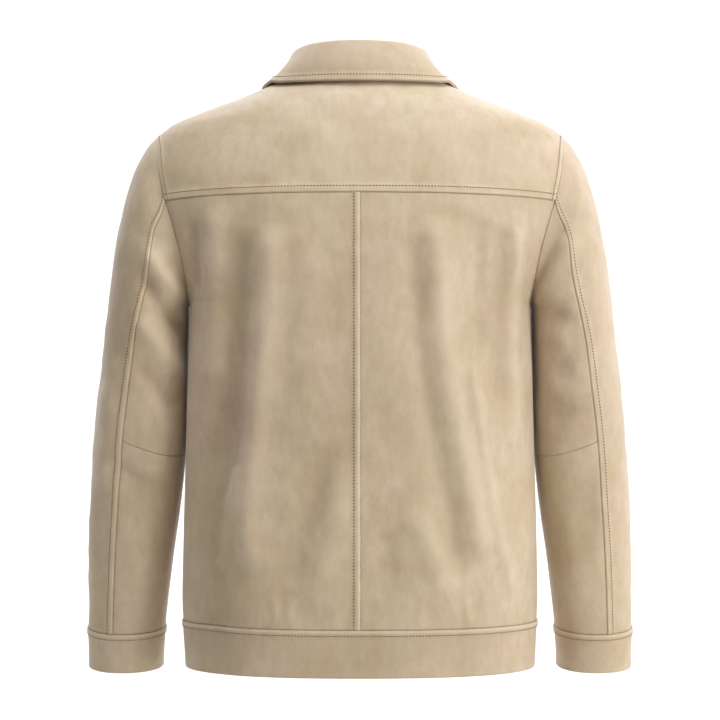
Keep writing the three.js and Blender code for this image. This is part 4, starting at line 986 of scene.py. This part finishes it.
def stand_lean(u, v, points, normals, distances):
    seam_normal = mirrored(neck_seam(collar_along(u))[1], u)
    return unit(normals + (seam_normal - normals) * np.exp(-(distances["top"] / 4) ** 2)[..., None])


suede_piece(
    "suede_collar_stand", "collar_stand", stand_surface,
    {"left": {"kind": "turned"}, "right": {"kind": "turned"}, "top": PLAIN, "bottom": PLAIN},
    lambda u, v, points, distances: 0 * u, from_axis, 1, stand_lean)


def leaf_surface(u, v):
    """The leaf's middle: a smooth curve over the stand's top and down to the free edge."""
    along = collar_along(u)
    point, _, outward = neck_seam(along)
    stand, lean, edge_turns, edge_z, fullness = collar_shape(along)
    up = np.array([0, 0, 1.0])
    top = point - outward * lean[..., None] + up * stand[..., None]
    rolled = [top + outward * (out - 1) + up * rise for out, rise in LEAF_ROLL]
    behind = body_point("back", np.maximum(edge_turns, 0), edge_z)
    before = body_point("front", np.minimum(edge_turns, 0), edge_z)
    on_back = (edge_turns >= 0)[..., None]
    edge = np.where(on_back, behind, before)
    edge = edge + LEAF_CLEARANCE * np.where(
        on_back, body_normal("back", behind), body_normal("front", before))
    run = edge - rolled[-1]
    tangent = np.stack([-outward[..., 1], outward[..., 0], np.zeros_like(along)], axis=-1)
    bulge = unit(np.cross(run, tangent))
    facing = bulge[..., 2:] + np.sum(bulge * outward, axis=-1, keepdims=True)
    bulge = bulge * np.where(facing < 0, -1, 1)
    fall = [rolled[-1] + run * share + bulge * fullness[..., None] * math.sin(math.pi * share)
            for share in LEAF_FALL]
    controls = np.stack(rolled + fall, axis=0)
    last = len(controls) - 1
    place = np.clip(v * last, 0, last - 1e-6)
    i = place.astype(int)
    t = (place - i)[..., None]

    def control(k):
        return np.take_along_axis(controls, np.clip(k, 0, last)[None, ..., None], axis=0)[0]

    a, b, c, d = control(i - 1), control(i), control(i + 1), control(i + 2)
    curve = 0.5 * (2 * b + (c - a) * t + (2 * a - 5 * b + 4 * c - d) * t ** 2
                   + (3 * b - a - 3 * c + d) * t ** 3)
    return mirrored(curve, u)


def leaf_out(points):
    return points * np.array([1, 1, 0]) + np.array([0, 0, 30.0])


# The leaf's colour is darkened all over towards the deep brown by shade=0.3: painted shade.
suede_piece(
    "suede_collar_leaf", "collar_leaf", leaf_surface,
    {"left": {"kind": "turned", "stitch": 6.6}, "right": {"kind": "turned", "stitch": 6.6},
     "top": PLAIN, "bottom": {"kind": "turned", "stitch": 6.8}},
    lambda u, v, points, distances: 0.25 * unevenness(points, 28, 11), leaf_out, 1,
    base_lift=LEAF_HALF, thickness=2 * LEAF_HALF, pitch=2.6, shade=0.3)

# Sewing thread: one row of lockstitches beside each welt and edge, in the colour of the suede.
# A stitch is 2.2 mm of polyester thread, one every 3.6 mm, and dives into the suede at each end;
# a dark disc of painted shadow marks each needle hole, so that the row reads as fine dots.
thread, tree = new_material("spun_polyester_thread")
place = add_node(tree, "ShaderNodeTexCoord").outputs["Object"]
twist = add_node(tree, "ShaderNodeTexNoise", {"Vector": place, "Scale": 600, "Detail": 1})
thread_colour = add_node(tree, "ShaderNodeMix", {
    0: twist.outputs["Fac"], 6: linear("bfa986"), 7: linear("d6c3a1")}, data_type="RGBA")
twist_bump = add_node(tree, "ShaderNodeBump", {
    "Height": twist.outputs["Fac"], "Strength": 0.5, "Distance": 0.0002})
yarn = add_node(tree, "ShaderNodeBsdfPrincipled", {
    "Base Color": thread_colour.outputs[2], "Roughness": 0.7, "Specular IOR Level": 0.3,
    "Normal": twist_bump.outputs["Normal"]})
add_node(tree, "ShaderNodeOutputMaterial", {"Surface": yarn.outputs["BSDF"]})

STITCH_SPACING, STITCH_HALF, THREAD_RADIUS = 3.6, 1.1, 0.4
stitch_rings = [
    (-1, -0.3, 0.35), (-0.75, 0.05, 0.85), (0, 0.16, 1), (0.75, 0.05, 0.85), (1, -0.3, 0.35)]
points = [[x * STITCH_HALF, math.cos(math.radians(60 * k)) * r * THREAD_RADIUS,
           z + math.sin(math.radians(60 * k)) * r * THREAD_RADIUS]
          for x, z, r in stitch_rings for k in range(6)]
faces = [(6 * i + k, 6 * i + (k + 1) % 6, 6 * i + 6 + (k + 1) % 6, 6 * i + 6 + k)
         for i in range(4) for k in range(6)]
faces += [(3, 2, 1, 0), (5, 4, 3, 0), (24, 25, 26, 27), (24, 27, 28, 29)]
stitch_model = add_piece("stitch_model", points, faces, thread, 80)

stitch_gap_shadow, tree = new_material("painted_needle_hole_shadow")
# Painted shadow: the near-black brown disc stands for the shade inside a needle hole, between two
# stitches.
hole = add_node(tree, "ShaderNodeBsdfPrincipled", {
    "Base Color": linear("33250f"), "Roughness": 1.0, "Specular IOR Level": 0.05})
add_node(tree, "ShaderNodeOutputMaterial", {"Surface": hole.outputs["BSDF"]})
points = [[math.cos(math.radians(60 * k)) * r, math.sin(math.radians(60 * k)) * r, z]
          for r, z in ((0.74, -0.4), (0.68, 0.34)) for k in range(6)]
faces = [(k, (k + 1) % 6, 6 + (k + 1) % 6, 6 + k) for k in range(6)]
faces += [(3, 2, 1, 0), (5, 4, 3, 0), (6, 7, 8, 9), (6, 9, 10, 11)]
hole_model = add_piece("hole_model", points, faces, stitch_gap_shadow, 80)


def cut_rows(rows, spacing):
    """Shortens each row by half a stitch at both ends, so that its points fall between stitches."""
    for path, out in rows:
        run = np.concatenate([[0], np.cumsum(np.linalg.norm(np.diff(path, axis=0), axis=1))])
        half = 0.5 * run[-1] / max(int(run[-1] / spacing), 1) - 1e-6
        at = np.concatenate([[half], run[(run > half) & (run < run[-1] - half)], [run[-1] - half]])
        yield (np.stack([np.interp(at, run, path[:, k]) for k in range(3)], axis=1),
               np.stack([np.interp(at, run, out[:, k]) for k in range(3)], axis=1))


def lines_object(name, rows):
    """Rows of points in millimetres, each with its way out of the cloth, as one mesh of lines."""
    points = np.concatenate([path for path, _ in rows]) / 1000
    edges, first = [], 0
    for path, _ in rows:
        edges += [(first + k, first + k + 1) for k in range(len(path) - 1)]
        first += len(path)
    mesh = bpy.data.meshes.new(name)
    mesh.from_pydata(points.tolist(), edges, [])
    mesh.attributes.new("out", "FLOAT_VECTOR", "POINT").data.foreach_set(
        "vector", np.concatenate([out for _, out in rows]).astype(np.float32).ravel())
    lines = bpy.data.objects.new(name, mesh)
    scene.collection.objects.link(lines)
    return lines


def along_lines_tree(name, material):
    """Geometry Nodes: one model every so many millimetres along the lines, upright on 'out'."""
    group = bpy.data.node_groups.new(name, "GeometryNodeTree")
    group.interface.new_socket("Lines", in_out="INPUT", socket_type="NodeSocketGeometry")
    group.interface.new_socket("Spacing", in_out="INPUT", socket_type="NodeSocketFloat")
    group.interface.new_socket("Model", in_out="INPUT", socket_type="NodeSocketObject")
    group.interface.new_socket("Seed", in_out="INPUT", socket_type="NodeSocketInt")
    group.interface.new_socket("Row", in_out="OUTPUT", socket_type="NodeSocketGeometry")
    given = add_node(group, "NodeGroupInput")
    curve = add_node(group, "GeometryNodeMeshToCurve", {"Mesh": given.outputs["Lines"]})
    even = add_node(group, "GeometryNodeResampleCurve", {
        "Curve": curve.outputs["Curve"], "Length": given.outputs["Spacing"]}, mode="LENGTH")
    model = add_node(group, "GeometryNodeObjectInfo", {"Object": given.outputs["Model"]})
    tangent = add_node(group, "GeometryNodeInputTangent")
    out = add_node(
        group, "GeometryNodeInputNamedAttribute", {"Name": "out"}, data_type="FLOAT_VECTOR")
    ahead = add_node(group, "FunctionNodeAlignRotationToVector", {
        "Vector": tangent.outputs["Tangent"]}, axis="X")
    upright = add_node(group, "FunctionNodeAlignRotationToVector", {
        "Rotation": ahead.outputs["Rotation"], "Vector": out.outputs["Attribute"]},
        axis="Z", pivot_axis="X")
    varied = add_node(group, "FunctionNodeRandomValue", {
        2: 0.93, 3: 1.07, "Seed": given.outputs["Seed"]}, data_type="FLOAT")
    placed = add_node(group, "GeometryNodeInstanceOnPoints", {
        "Points": even.outputs["Curve"], "Instance": model.outputs["Geometry"],
        "Rotation": upright.outputs["Rotation"], "Scale": varied.outputs[1]})
    real = add_node(group, "GeometryNodeRealizeInstances", {"Geometry": placed.outputs["Instances"]})
    finished = add_node(group, "GeometryNodeSetMaterial", {
        "Geometry": real.outputs["Geometry"], "Material": material})
    add_node(group, "NodeGroupOutput", {"Row": finished.outputs["Geometry"]})
    return group


def rows_made_plain(name, lines, group, spacing, model, seed):
    """Runs the tree on the lines and keeps its result as a plain mesh."""
    modifier = lines.modifiers.new("row", "NODES")
    modifier.node_group = group
    sockets = {item.name: item.identifier for item in group.interface.items_tree}
    modifier[sockets["Spacing"]] = spacing
    modifier[sockets["Model"]] = model
    modifier[sockets["Seed"]] = seed
    lines.update_tag()
    bpy.context.view_layer.update()
    depsgraph = bpy.context.evaluated_depsgraph_get()
    mesh = bpy.data.meshes.new_from_object(lines.evaluated_get(depsgraph))
    lines.modifiers.remove(modifier)
    bpy.data.objects.remove(lines)
    bpy.data.objects.remove(model)
    mesh.name = name
    mesh.shade_smooth()
    piece = bpy.data.objects.new(name, mesh)
    scene.collection.objects.link(piece)
    return piece


hole_shadow_rows = list(cut_rows(stitch_rows, STITCH_SPACING))
for name, rows, material, model in (
        ("sewing_thread", stitch_rows, thread, stitch_model),
        ("needle_holes", hole_shadow_rows, stitch_gap_shadow, hole_model)):
    sewing = rows_made_plain(
        name, lines_object(f"{name}_lines", rows), along_lines_tree(f"{name}_rows", material),
        STITCH_SPACING / 1000, model, 5)
    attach(sewing, "jacket")

# Zip: two woven polyester tapes behind the edges of the fronts, each with its row of metal teeth.
# The teeth are stamped brass, 2.6 mm from one to the next, and the two rows lock between them.
CHAIN_TOP, ZIP_BOX_TOP, TAPE_HALF = -53, -630, 15
TOOTH_SPACING, TOOTH_FROM_MIDDLE, TOOTH_DEPTH = 2.6, 1.6, 1.55
tape_cloth, tree = new_material("woven_zip_tape")
place = add_node(tree, "ShaderNodeTexCoord").outputs["Object"]
weft = add_node(tree, "ShaderNodeTexWave", {
    "Vector": place, "Scale": 350, "Distortion": 0.4}, wave_type="BANDS", bands_direction="Z")
warp = add_node(tree, "ShaderNodeTexWave", {
    "Vector": place, "Scale": 350, "Distortion": 0.4}, wave_type="BANDS", bands_direction="X")
weave = add_node(tree, "ShaderNodeMath", {
    0: weft.outputs["Fac"], 1: warp.outputs["Fac"]}, operation="MULTIPLY")
tape_colour = add_node(tree, "ShaderNodeMix", {
    0: weave.outputs["Value"], 6: linear("8d7858"), 7: linear("ab9470")}, data_type="RGBA")
weave_bump = add_node(tree, "ShaderNodeBump", {
    "Height": weave.outputs["Value"], "Strength": 0.5, "Distance": 0.0002})
woven = add_node(tree, "ShaderNodeBsdfPrincipled", {
    "Base Color": tape_colour.outputs[2], "Roughness": 0.85, "Specular IOR Level": 0.25,
    "Normal": weave_bump.outputs["Normal"]})
add_node(tree, "ShaderNodeOutputMaterial", {"Surface": woven.outputs["BSDF"]})

zip_brass, tree = new_material("antiqued_brass")
# Stamped brass with a dulled, tumbled finish, its colour and polish varying at random.
place = add_node(tree, "ShaderNodeTexCoord").outputs["Object"]
dulling = add_node(tree, "ShaderNodeTexNoise", {"Vector": place, "Scale": 420, "Detail": 4})
brass_colour = add_node(tree, "ShaderNodeMix", {
    0: dulling.outputs["Fac"], 6: linear("6f5c3c"), 7: linear("a08b62")}, data_type="RGBA")
polish = add_node(tree, "ShaderNodeMapRange", {
    "Value": dulling.outputs["Fac"], "To Min": 0.28, "To Max": 0.5})
brass = add_node(tree, "ShaderNodeBsdfPrincipled", {
    "Base Color": brass_colour.outputs[2], "Metallic": 1, "Roughness": polish.outputs["Result"]})
add_node(tree, "ShaderNodeOutputMaterial", {"Surface": brass.outputs["BSDF"]})

tape_section = [
    (0.25, 2.9), (2.8, 2.9), (2.8, 2.45), (TAPE_HALF, 2.45), (TAPE_HALF, 3.4), (0.25, 3.4)]
levels = np.linspace(CHAIN_TOP, ZIP_BOX_TOP, 150)
for side_name, side in SIDES:
    points = []
    for x, inward in tape_section:
        surface = body_point("front", turn_of_x("front", np.full_like(levels, x), levels), levels)
        points.append((surface - body_normal("front", surface) * inward) * np.array([side, 1, 1]))
    grid = np.stack(points, axis=1)
    count = len(tape_section)
    index = np.arange(len(levels) * count).reshape(len(levels), count)
    index = np.concatenate([index, index[:, :1]], axis=1)
    quads = np.stack([index[:-1, :-1], index[:-1, 1:], index[1:, 1:], index[1:, :-1]], axis=-1)
    caps = np.array([[0, 5, 2, 1], [2, 5, 4, 3]])
    last = (len(levels) - 1) * count
    faces = np.concatenate([quads.reshape(-1, 4), caps, last + caps[:, ::-1]])
    tape = add_piece(f"woven_tape_{side_name}", grid.reshape(-1, 3), faces, tape_cloth, 30)
    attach(tape, "jacket")
    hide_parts(f"zip_tape_{side_name}")

tooth_points = [
    (-0.9, -0.3, -0.95), (1.5, -0.55, -0.95), (1.5, 0.55, -0.95), (-0.9, 0.3, -0.95),
    (-0.9, -0.3, 0.95), (1.5, -0.55, 0.95), (1.5, 0.55, 0.95), (-0.9, 0.3, 0.95),
    (-1.9, -0.45, -0.7), (-1.9, 0.45, -0.7), (-1.9, -0.45, 0.7), (-1.9, 0.45, 0.7)]
tooth_faces = [
    (0, 3, 2, 1), (4, 5, 6, 7), (0, 1, 5, 4), (3, 7, 6, 2), (1, 2, 6, 5),
    (0, 8, 9, 3), (4, 7, 11, 10), (0, 4, 10, 8), (3, 9, 11, 7), (8, 10, 11, 9)]
for side_name, side in SIDES:
    first = CHAIN_TOP - 3 - (TOOTH_SPACING / 2 if side > 0 else 0)
    z = np.linspace(first, ZIP_BOX_TOP + 1, 300)
    turn = turn_of_x("front", np.full_like(z, TOOTH_FROM_MIDDLE), z)
    surface = body_point("front", turn, z)
    normal = body_normal("front", surface)
    path = (surface - normal * TOOTH_DEPTH) * np.array([side, 1, 1])
    tooth_line = lines_object("tooth_line", [(path, normal)])
    model_points = [(y, -side * x, z) for x, y, z in tooth_points]
    tooth_model = add_piece("tooth_model", model_points, tooth_faces, zip_brass, 30)
    teeth = rows_made_plain(
        f"zip_teeth_{side_name}", tooth_line, along_lines_tree("tooth_row", zip_brass),
        TOOTH_SPACING / 1000, tooth_model, 2)
    teeth.data.set_sharp_from_angle(angle=math.radians(30))
    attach(teeth, "jacket")

# Slider, pull tab and retaining box: die-cast, in the same antiqued brass as the teeth. The pull
# tab hangs from the slider's bridge.
for node in ("zip_slider", "zip_pull", "zip_box"):
    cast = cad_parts[node]
    cast.data.materials.clear()
    cast.data.materials.append(zip_brass)
